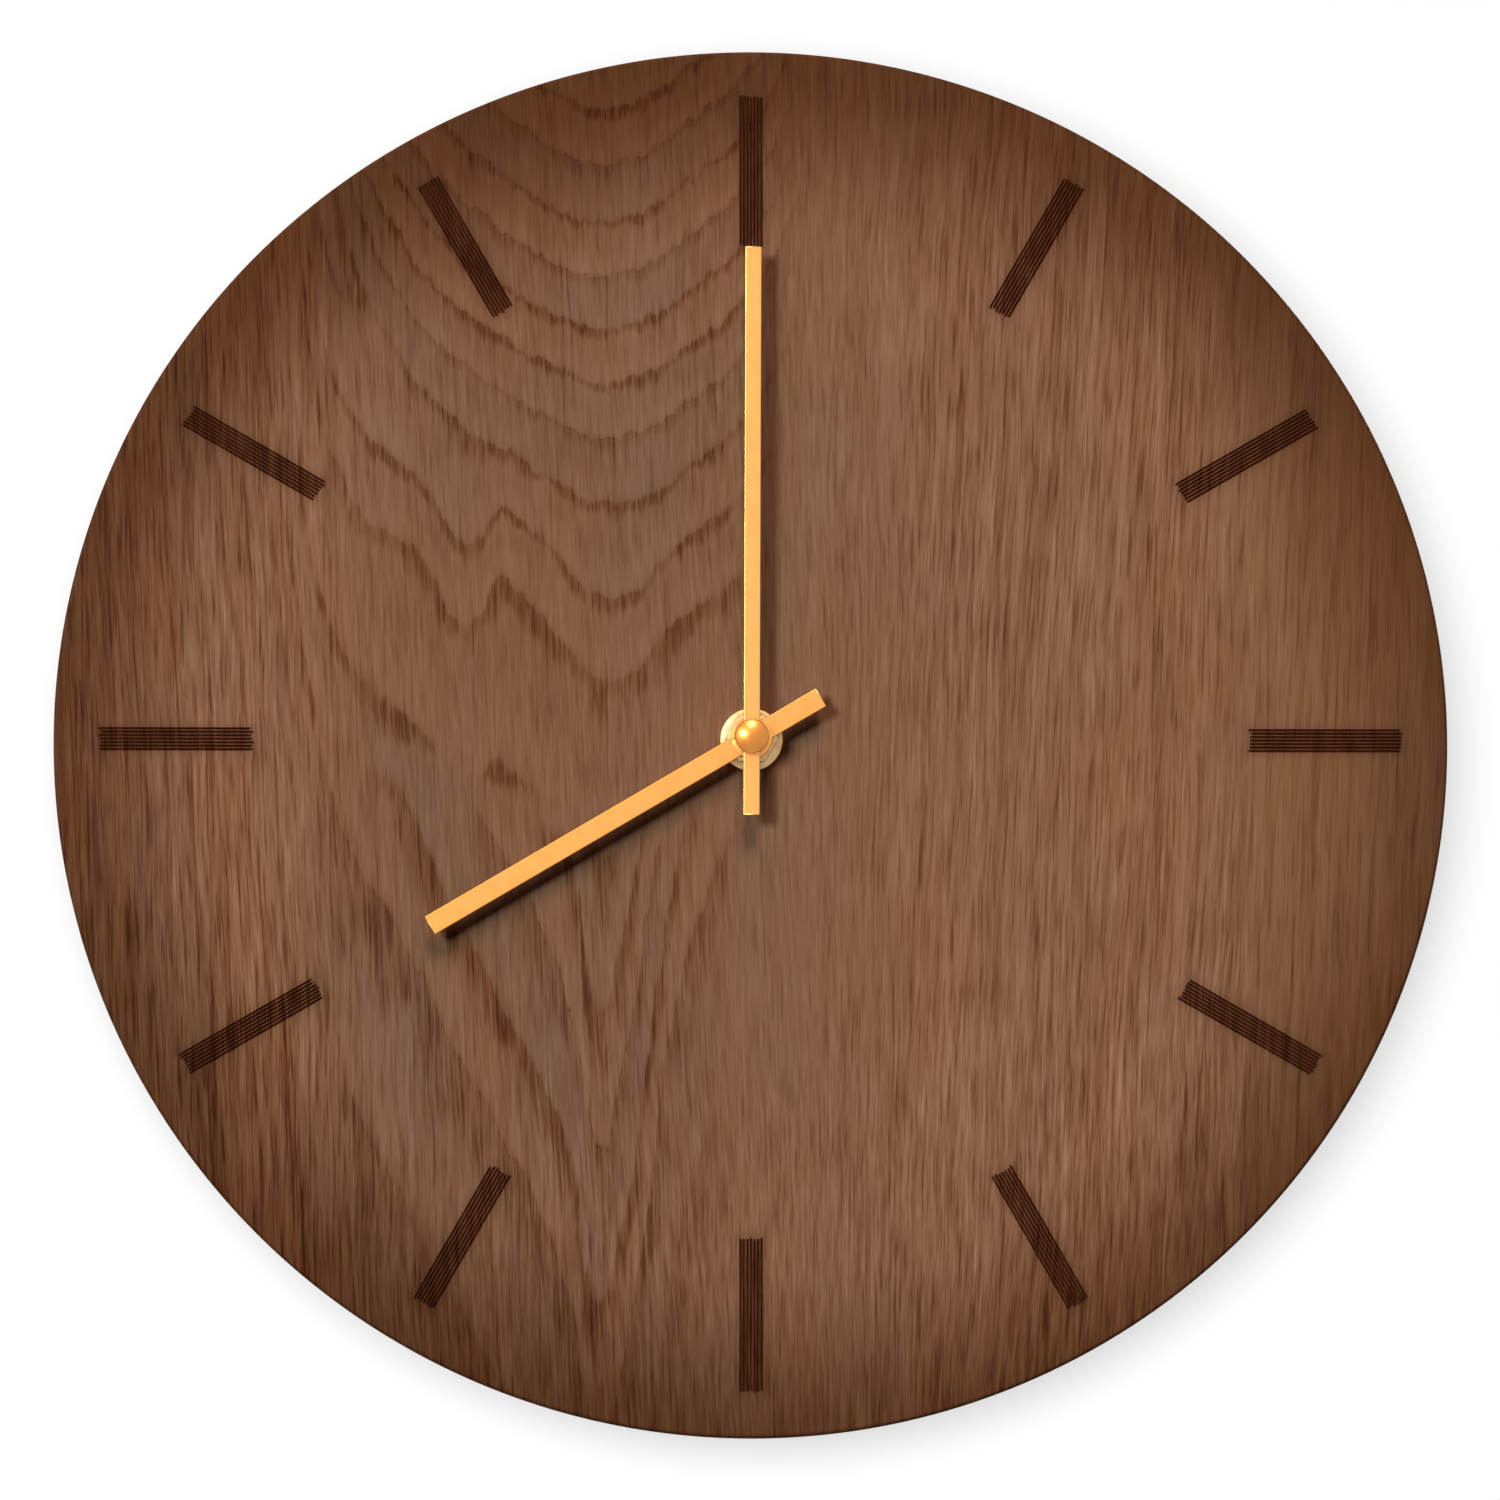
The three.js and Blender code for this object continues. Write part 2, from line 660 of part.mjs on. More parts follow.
function hourHand() {
  const blade = handBar(HOUR_W, HOUR_LENGTH, HOUR_TAIL, hourHandFront, hourHandBack);
  const eye = disc(CENTRE, HOUR_EYE_R, hourHandFront, hourHandBack, ROUND);
  const bore = drill(CENTRE, PIPE_R + FIT, hourHandFront, hourHandBack, ROUND);
  const shown = (SHOWN_HOUR * 360) / HOURS - HOUR_HAND_LAG;
  return clockwise(blade.add(eye).subtract(bore), shown);
}

function minuteHand() {
  const blade = handBar(MINUTE_W, MINUTE_LENGTH, MINUTE_TAIL, minuteHandFront, minuteHandBack);
  const hole = flatted(FIT, minuteHandFront - OVER, minuteHandBack + OVER);
  return clockwise(blade, MINUTE_HAND_LEAD).subtract(hole);
}

// The domed cap screws onto the end of the minute arbor.
function capNut() {
  const dome = [];
  for (let i = 0; i < CAP_STEPS; i++) {
    const a = (i / CAP_STEPS) * (Math.PI / 2);
    dome.push([CAP_R * Math.cos(a), capBack - CAP_SKIRT - (CAP_HEIGHT - CAP_SKIRT) * Math.sin(a)]);
  }
  const bore = THREAD_R + FIT;
  const boreEnd = threadFront - CAP_BORE_ROOM;
  return turned(CENTRE, [
    [0, boreEnd],
    [bore, boreEnd],
    [bore, capBack],
    [CAP_R - EASE, capBack],
    [CAP_R, capBack - EASE],
    ...dome,
    [0, capFront],
  ]);
}

// Motion work: minute arbor with the cannon pinion, hour wheel with its pipe, intermediate wheel.

function minuteArbor() {
  const shaft = turned(CENTRE, [
    [0, minuteHandBack + SEAT],
    [ARBOR_R, minuteHandBack + SEAT],
    [ARBOR_R, settingBack],
    [CLUTCH_HUB_R, settingBack],
    [CLUTCH_HUB_R, centreBack + SEAT],
    [PIVOT_R, centreBack + SEAT],
    [PIVOT_R, plateFront + PLATE_PIVOT],
    [0, plateFront + PLATE_PIVOT],
  ], SMALL);
  const leaves = pinion(
    CENTRE,
    TEETH.cannon,
    MODULE_SETTING,
    meshCannon.driver,
    settingFront - PINION_PROUD,
    settingBack,
  );
  const seat = flatted(0, minuteHandFront, minuteHandBack + SEAT);
  const thread = disc(CENTRE, THREAD_R, threadFront, minuteHandFront);
  return union(shaft, leaves, seat, thread);
}

function hourWheel() {
  const teeth = wheel(
    CENTRE,
    TEETH.hour,
    moduleHour,
    meshSetting.follower,
    hourWheelFront,
    hourWheelBack,
  );
  const pipe = disc(CENTRE, PIPE_R, pipeFront, hourWheelBack, ROUND);
  const bore = drill(CENTRE, ARBOR_R + RUN, pipeFront, hourWheelBack, ROUND);
  return teeth.add(pipe).subtract(bore);
}

function intermediateWheel() {
  const leaves = pinion(
    setting,
    TEETH.intermediatePinion,
    moduleHour,
    meshSetting.driver,
    hourWheelFront - PINION_PROUD,
    settingFront,
  );
  const teeth = wheel(
    setting,
    TEETH.intermediate,
    MODULE_SETTING,
    meshCannon.follower,
    settingFront,
    settingBack,
  );
  const pivot = disc(setting, PIVOT_R, innerFront - SETTING_PIVOT, hourWheelFront);
  const shaft = disc(setting, SETTING_SHAFT_R, settingBack, knobBack - KNOB_WEB - SEAT);
  return union(leaves, teeth, pivot, shaft);
}

// The knob's outline: each flute is a ridge a quarter of the pitch wide, a slope, a floor and a slope.
function setKnob() {
  const outline = [];
  const pitch = 360 / KNOB_FLUTES;
  const floorR = KNOB_R - FLUTE_DEPTH;
  for (let i = 0; i < KNOB_FLUTES; i++) {
    const corners = [[KNOB_R, -0.25], [KNOB_R, 0.25], [floorR, 0.4], [floorR, 0.6]];
    for (const [radius, share] of corners) {
      outline.push(shifted(setting, polar(radius, (i + share) * pitch)));
    }
  }
  const bore = disc(setting, SETTING_SHAFT_R + FIT, knobFront - OVER, knobBack - KNOB_WEB);
  return slab(polygon(outline), knobFront, knobBack).subtract(bore);
}

// Going train.

function centreWheel() {
  const teeth = wheel(
    CENTRE,
    TEETH.centre,
    MODULE_THIRD,
    meshThird.follower,
    centreFront,
    centreBack,
  );
  return teeth.subtract(drill(CENTRE, CLUTCH_HUB_R + RUN, centreFront, centreBack));
}

// A springy washer on three feet, between the cannon pinion and the centre wheel.
function clutchSpring() {
  const back = clutchFront + 2 * CLUTCH_T;
  let spring = disc(CENTRE, CLUTCH_R, clutchFront + CLUTCH_T, back, ROUND);
  for (let i = 0; i < CLUTCH_FEET; i++) {
    const spot = polar(CLUTCH_R - CLUTCH_FOOT_R - SEAT, (i * 360) / CLUTCH_FEET);
    spring = spring.add(disc(spot, CLUTCH_FOOT_R, clutchFront, back));
  }
  return spring.subtract(drill(CENTRE, CLUTCH_HUB_R + RUN, clutchFront, centreFront));
}

// A train arbor: its wheel, its pinion, a stout shaft between them and thin pivots at both ends.
function trainArbor(spot, wheelPart, pinionPart, shaftFront, shaftBack, pivotFront) {
  return union(
    wheelPart,
    pinionPart,
    disc(spot, SHAFT_R, shaftFront, shaftBack),
    disc(spot, PIVOT_R, pivotFront, pivotBack, THIN),
  );
}

function thirdWheel() {
  const leavesFront = centreFront - PINION_PROUD;
  const teeth = wheel(
    third, TEETH.third, moduleFourth, meshFourth.follower, thirdFront, thirdBack,
  );
  const leaves = pinion(
    third, TEETH.thirdPinion, MODULE_THIRD, meshThird.driver,
    leavesFront, centreBack + PINION_PROUD,
  );
  const pivotFront = innerFront + SINK;
  return trainArbor(third, teeth, leaves, leavesFront, bossFront - LAYER, pivotFront);
}

function fourthWheel() {
  const teeth = wheel(
    CENTRE, TEETH.fourth, MODULE_FIFTH, meshFifth.follower, fourthFront, fourthBack,
  );
  const leaves = pinion(
    CENTRE, TEETH.fourthPinion, moduleFourth, meshFourth.driver,
    thirdFront - PINION_PROUD, thirdBack + PINION_PROUD,
  );
  const shaftFront = thirdFront - PINION_PROUD;
  return trainArbor(CENTRE, teeth, leaves, shaftFront, fourthBack, plateBack - PLATE_PIVOT);
}

function fifthWheel() {
  const teeth = wheel(
    fifth, TEETH.fifth, MODULE_ROTOR, meshRotor.follower, fifthFront, fifthBack,
  );
  const leaves = pinion(
    fifth, TEETH.fifthPinion, MODULE_FIFTH, meshFifth.driver,
    fourthFront - PINION_PROUD, fourthBack + PINION_PROUD,
  );
  return trainArbor(fifth, teeth, leaves, plateBack + LAYER, bossFront - LAYER, plateFront);
}

function rotorShaft() {
  const leaves = pinion(
    rotor, TEETH.rotor, MODULE_ROTOR, meshRotor.driver,
    fifthFront - PINION_PROUD, fifthBack + PINION_PROUD,
  );
  return union(
    leaves,
    disc(rotor, SHAFT_R, plateBack + LAYER, bossFront - LAYER),
    disc(rotor, PIVOT_R, plateFront, pivotBack, THIN),
  );
}

function rotorMagnet() {
  return ring(rotor, SHAFT_R + FIT, MAGNET_R, magnetFront, magnetFront + MAGNET_T);
}

// Stepping motor: the stator's two arms reach past the ends of the coil, where its core bridges them.

const armTop = [coilTop + ARM_GAP, coilTop + ARM_GAP + ARM_W];
const armBottom = [coilBottom - ARM_GAP - ARM_W, coilBottom - ARM_GAP];
const armRight = coilX + CORE_W / 2 + ARM_PAST;
const pegUpper = [plateRight - PEG_INSET_UPPER, armTop[0] + ARM_W / 2];
const pegLower = [plateRight - PEG_INSET_LOWER, rotor[1] - statorRingR - PEG_DROP];

function stator() {
  const ringTop = rotor[1] + statorRingR;
  const ringBottom = rotor[1] - statorRingR;
  const ringRight = rotor[0] + statorRingR - ARM_BITE;
  const upper = [
    [rotor[0] - ARM_EAR, ringTop - ARM_EAR],
    [rotor[0] - ARM_EAR / 2, armTop[1] - ARM_BITE],
    [rotor[0] + ARM_EAR, armTop[1]],
    [armRight, armTop[1]],
    [armRight, armTop[0]],
    [rotor[0] + statorRingR, armTop[0]],
    [ringRight, rotor[1] + ARM_SLOT],
  ];
  const lower = [
    [ringRight, rotor[1] - ARM_SLOT],
    [pegLower[0] + ARM_EAR, ringBottom + ARM_BITE],
    [pegLower[0] + ARM_EAR, armBottom[1]],
    [armRight, armBottom[1]],
    [armRight, armBottom[0]],
    [pegLower[0] + ARM_BITE, armBottom[0]],
    [pegLower[0] - ARM_EAR, ringBottom - ARM_SLOT],
    [rotor[0] + ARM_SLOT, ringBottom + ARM_BITE],
  ];
  const arms = [upper, lower].map((corners) => slab(polygon(corners), statorFront, statorBack));
  const iron = union(disc(rotor, statorRingR, statorFront, statorBack, ROUND), ...arms);
  const holes = union(
    drill(rotor, MAGNET_R + AIR_GAP, statorFront, statorBack, ROUND),
    drill(pegUpper, PEG_R + FIT, statorFront, statorBack),
    drill(pegLower, PEG_R + FIT, statorFront, statorBack),
  );
  return iron.subtract(holes);
}

function coilCore() {
  const half = CORE_W / 2;
  return bar(
    coilX - half, coilX + half, armBottom[0] + CORE_INSET, armTop[1] - CORE_INSET,
    coreFront, coreFront + CORE_T,
  );
}

const spoolHalfW = CORE_W / 2 + FIT + SPOOL_WALL;
const spoolHalfT = CORE_T / 2 + FIT + SPOOL_WALL;

function coilBobbin() {
  const bottom = coilBottom + FIT;
  const top = coilTop - FIT;
  const flange = (z1, z2) => bar(
    coilX - FLANGE_HALF, coilX + FLANGE_HALF, z1, z2,
    coilDepth - FLANGE_HALF, coilDepth + FLANGE_HALF,
  );
  const spool = bar(
    coilX - spoolHalfW, coilX + spoolHalfW, bottom, top,
    coilDepth - spoolHalfT, coilDepth + spoolHalfT,
  );
  const slot = bar(
    coilX - CORE_W / 2 - FIT, coilX + CORE_W / 2 + FIT, bottom - OVER, top + OVER,
    coilDepth - CORE_T / 2 - FIT, coilDepth + CORE_T / 2 + FIT,
  );
  return union(spool, flange(bottom, bottom + FLANGE_T), flange(top - FLANGE_T, top)).subtract(slot);
}

function coilWinding() {
  const bottom = coilBottom + FIT + FLANGE_T + FIT;
  const top = coilTop - FIT - FLANGE_T - FIT;
  const wound = new THREE.CylinderGeometry(COIL_R, COIL_R, top - bottom, ROUND);
  wound.rotateX(Math.PI / 2).translate(coilX, yOf(coilDepth), (top + bottom) / 2);
  const core = bar(
    coilX - spoolHalfW - FIT, coilX + spoolHalfW + FIT, bottom - OVER, top + OVER,
    coilDepth - spoolHalfT - FIT, coilDepth + spoolHalfT + FIT,
  );
  return solid(wound).subtract(core);
}

// Electronics.

const pcbBottom = pcbTop - BOARD_H;
const pcbRight = pcbLeft + BOARD_W;

function circuitBoard() {
  const board = bar(pcbLeft, pcbRight, pcbBottom, pcbTop, pcbFront, pcbBack);
  return board.subtract(drill(posts[2], PEG_R + FIT, pcbFront, pcbBack));
}

// A drop of resin over the chip.
function chipCover() {
  const front = pcbBack + SEAT;
  const drop = [[0, front]];
  for (let i = 0; i < CHIP_STEPS; i++) {
    const a = (i / CHIP_STEPS) * (Math.PI / 2);
    drop.push([CHIP_R * Math.cos(a), front + CHIP_H * Math.sin(a)]);
  }
  drop.push([0, front + CHIP_H]);
  return turned([(pcbLeft + pcbRight) / 2, pcbBottom + CHIP_RISE], drop);
}

function crystalCan() {
  const can = new THREE.CylinderGeometry(CRYSTAL_R, CRYSTAL_R, CRYSTAL_LENGTH, SMALL);
  const depth = pcbBack + SEAT + CRYSTAL_R;
  can.rotateZ(Math.PI / 2).translate(
    (pcbLeft + pcbRight) / 2 + CRYSTAL_SHIFT,
    yOf(depth),
    pcbBottom + CRYSTAL_R + CRYSTAL_RISE,
  );
  return solid(can);
}

// Battery and its contacts.

const stripFront = pcbBack + SEAT;
const stripEnd = pcbBottom + STRIP_LAP;
const cellLeft = -innerHalf + SEAT + CONTACT_T + SEAT;
const cellRight = cellLeft + CELL_LENGTH;

const canLeft = cellLeft + CELL_NUB + CELL_END_T;

function batteryCell() {
  const cell = new THREE.CylinderGeometry(CELL_R, CELL_R, cellRight - canLeft, ROUND);
  cell.rotateZ(Math.PI / 2).translate((canLeft + cellRight) / 2, yOf(cellDepth), cellZ);
  return solid(cell);
}

function batteryCap() {
  const right = canLeft - SEAT;
  const plateLeftX = right - CONTACT_T;
  const plateR = CELL_R - CELL_END_RIM;
  const profile = [
    [0, cellLeft],
    [CELL_NUB_R, cellLeft],
    [CELL_NUB_R, plateLeftX],
    [plateR, plateLeftX],
    [plateR, right],
    [0, right],
  ];
  const points = profile.map(([r, x]) => new THREE.Vector2(r, x));
  const cap = new THREE.LatheGeometry(points, ROUND);
  cap.rotateZ(-Math.PI / 2).translate(0, yOf(cellDepth), cellZ);
  return solid(cap);
}

function contactPositive() {
  const left = -innerHalf + SEAT;
  const half = CONTACT_W / 2;
  return union(
    bar(left, left + CONTACT_T, cellZ - half, cellZ + half, cellDepth - half, cellDepth + half),
    bar(left, left + CONTACT_T, cellZ, stripEnd, stripFront, stripFront + STRIP_W),
  );
}

// The negative contact bows towards the cell, and its strip runs back along the partition.
function contactNegative() {
  const right = innerHalf - SEAT;
  const half = CONTACT_W / 2;
  const bow = right - CONTACT_T - cellRight - SEAT;
  const stripTop = chamberFloor + SEAT + CONTACT_T;
  const turnX = -innerHalf + 2 * SEAT + 2 * CONTACT_T;
  const leaf = new THREE.Shape();
  leaf.moveTo(right, cellZ - half);
  leaf.lineTo(right, cellZ + half);
  leaf.lineTo(right - CONTACT_T, cellZ + half);
  leaf.quadraticCurveTo(right - CONTACT_T - 2 * bow, cellZ, right - CONTACT_T, cellZ - half);
  const hollow = new THREE.Path();
  hollow.moveTo(right - CONTACT_T, cellZ + half - LEAF_W);
  hollow.quadraticCurveTo(
    right - 2 * CONTACT_T - LEAF_CURVE * bow, cellZ, right - CONTACT_T, cellZ - half + LEAF_W,
  );
  leaf.holes.push(hollow);
  return union(
    slab(leaf, cellDepth - half, cellDepth + half),
    bar(right - CONTACT_T, right, cellZ, stripTop, stripFront, stripFront + STRIP_W),
    bar(turnX, right, chamberFloor + SEAT, stripTop, stripFront, stripFront + STRIP_W),
    bar(turnX, turnX + CONTACT_T, chamberFloor + SEAT, stripEnd,
      stripFront, stripFront + STRIP_W),
  );
}

// Movement case: a front tray, a bearing plate and a rear cover.

const caseOutline = roundedRect(-caseHalf, caseHalf, caseBottom, caseTop, CASE_CORNER_R);
const clipHeights = [cellZ, (pcbBottom + pcbTop) / 2];

// The two rooms of the case: the gear chamber over the battery bay, joined only at the strips.
function chamberRoom(front, back) {
  return bar(-innerHalf, innerHalf, chamberFloor, chamberTop, front, back);
}

function bayRoom(front, back) {
  return bar(-innerHalf, innerHalf, bayFloor, bayTop, front, back);
}

function stripSlots(front, back) {
  const slot = 3 * SEAT + 2 * CONTACT_T;
  return union(
    bar(-innerHalf, -innerHalf + slot, bayTop - OVER, chamberFloor + OVER, front, back),
    bar(innerHalf - slot, innerHalf, bayTop - OVER, chamberFloor + OVER, front, back),
  );
}

function caseFrontTray() {
  let tray = catches(slab(caseOutline, caseFront, splitDepth, CORNER_STEPS))
    .subtract(chamberRoom(innerFront, splitDepth + OVER))
    .subtract(bayRoom(caseFront + BAY_WALL, splitDepth + OVER))
    .subtract(drill(CENTRE, BUSH_R + FIT, caseFront, innerFront, ROUND));
  for (const spot of posts) {
    tray = union(
      tray,
      disc(spot, POST_R, innerFront - SINK, splitDepth),
      disc(spot, PEG_R, innerFront, plateBack + PEG_PROUD),
    );
  }
  // The third arbor turns in a small boss, the setting arbor in the wall itself.
  const bearing = PIVOT_R + RUN;
  const pivotDepth = SETTING_PIVOT + PIVOT_END;
  return tray
    .add(disc(third, bearing + SMALL_BOSS_WALL, innerFront - SINK, hourWheelBack))
    .subtract(disc(third, bearing, innerFront + SINK - PIVOT_END, hourWheelBack + OVER))
    .subtract(disc(setting, bearing, innerFront - pivotDepth, innerFront + OVER));
}

// A bar between two distances from the case's middle, on its left or its right.
function sideBar(side, near, far, z1, z2, front, back) {
  const [x1, x2] = [side * near, side * far].sort((a, b) => a - b);
  return bar(x1, x2, z1, z2, front, back);
}

// The four catches stand on the tray's sides, each hooked into a window in the rear cover.
const hookFront = splitDepth + CLIP_REACH - CLIP_HEAD;
const hookBack = splitDepth + CLIP_REACH;

function catches(part) {
  let tray = part;
  for (const side of [-1, 1]) {
    for (const height of clipHeights) {
      const low = height - CLIP_W / 2;
      const high = height + CLIP_W / 2;
      const near = caseHalf - CLIP_T;
      tray = tray
        .add(sideBar(side, near, caseHalf, low, high, splitDepth - SINK, hookBack))
        .add(sideBar(side, near - CLIP_HOOK, caseHalf, low, high, hookFront, hookBack));
    }
  }
  return tray;
}

function catchWindows(part) {
  let cover = part;
  for (const side of [-1, 1]) {
    for (const height of clipHeights) {
      const low = height - CLIP_W / 2 - FIT;
      const high = height + CLIP_W / 2 + FIT;
      const near = caseHalf - CLIP_T - FIT;
      const far = caseHalf + OVER;
      cover = cover
        .subtract(sideBar(side, near, far, low, high, splitDepth - OVER, hookBack + CLIP_HEAD))
        .subtract(sideBar(side, innerHalf - FIT, far, low, high, hookFront - FIT, hookBack + FIT));
    }
  }
  return cover;
}

function middlePlate() {
  let plate = bar(plateLeft, plateRight, plateBottom, plateTop, plateFront, plateBack);
  for (const spot of [pegUpper, pegLower]) {
    plate = union(
      plate,
      disc(spot, PEG_R + PEG_COLLAR, plateBack - SINK, statorFront - SEAT),
      disc(spot, PEG_R, plateBack, statorBack + STATOR_PEG_PROUD),
    );
  }
  for (const spot of posts) {
    plate = plate.subtract(drill(spot, PEG_R + FIT, plateFront, plateBack));
  }
  const passing = tipRadius(MODULE_THIRD, TEETH.thirdPinion) + LAYER;
  const holes = [
    [CENTRE, PIVOT_R + RUN],
    [fifth, PIVOT_R + RUN],
    [rotor, PIVOT_R + RUN],
    [third, passing],
    [setting, SETTING_SHAFT_R + RUN],
  ];
  for (const [spot, radius] of holes) {
    plate = plate.subtract(drill(spot, radius, plateFront, plateBack));
  }
  return plate;
}

function rearCover() {
  const recessR = KNOB_R + KNOB_ROOM;
  const window = bar(
    -innerHalf + BAY_LIP, innerHalf - BAY_LIP, bayFloor + BAY_LIP, bayTop - BAY_LIP,
    innerBack - OVER, caseBack + OVER,
  );
  let cover = slab(caseOutline, splitDepth + SEAT, caseBack, CORNER_STEPS)
    .subtract(chamberRoom(splitDepth - OVER, innerBack))
    .subtract(bayRoom(splitDepth - OVER, innerBack))
    .subtract(stripSlots(splitDepth - OVER, innerBack))
    .subtract(window)
    .add(disc(setting, recessR + RECESS_WALL, recessFloor - CASE_WALL, innerBack + SINK, ROUND))
    .subtract(disc(setting, recessR, recessFloor, caseBack + OVER, ROUND))
    .subtract(drill(setting, SETTING_SHAFT_R + RUN, recessFloor - CASE_WALL, recessFloor));
  for (const spot of [CENTRE, third, fifth, rotor]) {
    cover = cover.add(disc(spot, BOSS_R, bossFront, innerBack + SINK));
  }
  for (const spot of [CENTRE, third, fifth, rotor]) {
    cover = cover.subtract(disc(spot, PIVOT_R + RUN, bossFront - OVER, pivotBack + PIVOT_END));
  }
  return catchWindows(cover);
}

// Keyhole hanger and its two countersunk screws.

function hangerPlate() {
  const slot = uprightSlot(0, keyHoleZ, keySlotTop, KEY_SLOT_R);
  const keyhole = union(
    slab(slot, hangerFront - OVER, boardT + OVER),
    drill([0, keyHoleZ], KEY_HOLE_R, hangerFront, boardT, ROUND),
  );
  let plate = slab(hangerOutline(0), hangerFront, hangerFront + HANGER_T).subtract(keyhole);
  for (const side of [-1, 1]) {
    plate = plate.subtract(turned(screwSpot(side), [
      [0, hangerFront - OVER],
      [SCREW_R + 2 * FIT, hangerFront - OVER],
      [SCREW_R + 2 * FIT, hangerFront + SEAT],
      [SCREW_HEAD_R + 2 * FIT, hangerFront + HANGER_T],
      [SCREW_HEAD_R + 2 * FIT, boardT + OVER],
      [0, boardT + OVER],
    ], SMALL));
  }
  return plate;
}

function hangerScrew(side) {
  const top = hangerFront + HANGER_T;
  const tip = boardT - SCREW_LENGTH;
  return turned(screwSpot(side), [
    [0, tip],
    [SCREW_R, tip + SCREW_POINT],
    [SCREW_R, hangerFront + 2 * SEAT],
    [SCREW_HEAD_R, top],
    [0, top],
  ], SMALL);
}

// Finishes.
const finish = (color, roughness, metalness) =>
  new THREE.MeshStandardMaterial({ color, roughness, metalness, flatShading: true });
const oak = finish(0x7d573b, 0.6, 0);
const polishedBrass = finish(0xf0b468, 0.25, 1);
const goldCap = finish(0xe09a55, 0.15, 1);
const paleBrass = finish(0xc8b98f, 0.35, 1);
const whitePlastic = finish(0xe9e6dc, 0.45, 0);
const blackPlastic = finish(0x1c1c1e, 0.5, 0);
const rubber = finish(0x222222, 0.85, 0);
const steel = finish(0xb9bcc0, 0.35, 1);
const iron = finish(0x8f9296, 0.45, 1);
const magnet = finish(0x4a4b50, 0.5, 0.6);
const copper = finish(0xb8622e, 0.4, 0.9);
const laminate = finish(0x9a7b3c, 0.6, 0);
const epoxy = finish(0x151515, 0.4, 0);
const zinc = finish(0xc6c3b6, 0.4, 1);
const cellSleeve = finish(0x2f5f58, 0.4, 0.1);

// Assembly. The pieces are made round the hand arbor, which hangs below the nail.
const clock = new THREE.Group();
clock.position.set(0, 0, -HANG_HEIGHT);

function place(name, material, part) {
  const mesh = part.getMesh();
  const geometry = new THREE.BufferGeometry();
  geometry.setAttribute("position", new THREE.BufferAttribute(mesh.vertProperties, 3));
  geometry.setIndex(new THREE.BufferAttribute(mesh.triVerts, 1));
  geometry.computeVertexNormals();
  const node = new THREE.Mesh(geometry, material);
  node.name = name;
  clock.add(node);
}

place("dial_board", oak, dialBoard());
place("threaded_bush", paleBrass, threadedBush());
place("rubber_gasket", rubber, rubberGasket());
place("front_washer", paleBrass, frontWasher());
place("hex_nut", paleBrass, hexNut());
place("hour_hand", polishedBrass, hourHand());
place("minute_hand", polishedBrass, minuteHand());
place("cap_nut", goldCap, capNut());
place("minute_arbor", paleBrass, minuteArbor());
place("hour_wheel", whitePlastic, hourWheel());
place("intermediate_wheel", whitePlastic, intermediateWheel());
place("set_knob", whitePlastic, setKnob());
place("centre_wheel", whitePlastic, centreWheel());
place("clutch_spring", copper, clutchSpring());
place("third_wheel", whitePlastic, thirdWheel());
place("fourth_wheel", whitePlastic, fourthWheel());
place("fifth_wheel", whitePlastic, fifthWheel());
place("rotor_shaft", whitePlastic, rotorShaft());
place("rotor_magnet", magnet, rotorMagnet());
place("stator", iron, stator());
place("coil_core", iron, coilCore());
place("coil_bobbin", whitePlastic, coilBobbin());
place("coil_winding", copper, coilWinding());
place("circuit_board", laminate, circuitBoard());
place("chip_cover", epoxy, chipCover());
place("crystal_can", steel, crystalCan());
place("contact_positive", zinc, contactPositive());
place("contact_negative", zinc, contactNegative());
place("battery_cell", cellSleeve, batteryCell());
place("battery_cap", zinc, batteryCap());
place("case_front", blackPlastic, caseFrontTray());
place("middle_plate", whitePlastic, middlePlate());
place("rear_cover", blackPlastic, rearCover());
place("hanger_plate", steel, hangerPlate());
place("hanger_screw_left", steel, hangerScrew(-1));
place("hanger_screw_right", steel, hangerScrew(1));

export default clock;
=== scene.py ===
# %% [markdown]
# # A round oak wall clock, dressed
# The clock is one disc of dark stained oak. Two straight brass hands turn in front of it, and a small battery
# movement sits in a pocket in its back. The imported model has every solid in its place, in metres, so this lesson
# only has to give the pieces their finish, remake the few that are seen close up, and light them.

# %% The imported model
import math

import bmesh
import bpy
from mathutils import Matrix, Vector


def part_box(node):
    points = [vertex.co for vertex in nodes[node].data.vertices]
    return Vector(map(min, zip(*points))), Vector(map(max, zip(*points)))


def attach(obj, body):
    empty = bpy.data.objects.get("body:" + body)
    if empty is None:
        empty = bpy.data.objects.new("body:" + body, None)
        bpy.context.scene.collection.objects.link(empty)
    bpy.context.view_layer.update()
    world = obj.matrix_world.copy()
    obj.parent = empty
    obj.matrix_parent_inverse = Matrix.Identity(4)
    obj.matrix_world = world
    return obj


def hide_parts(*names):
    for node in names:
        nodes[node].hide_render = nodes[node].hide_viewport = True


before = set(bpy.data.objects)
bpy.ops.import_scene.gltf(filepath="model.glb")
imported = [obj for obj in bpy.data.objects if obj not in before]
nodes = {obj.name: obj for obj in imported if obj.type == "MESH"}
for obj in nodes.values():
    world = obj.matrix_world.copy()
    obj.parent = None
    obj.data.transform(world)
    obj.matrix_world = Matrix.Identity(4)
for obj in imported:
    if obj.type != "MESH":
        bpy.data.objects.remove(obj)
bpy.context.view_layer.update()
MM = 0.001

# %% [markdown]
# ## Where things are
# The hands turn about one line, the arbor. Every round thing at the front is centred on it, so its height and the
# depth of the dial's face are read once from the solids and used by all that follows.

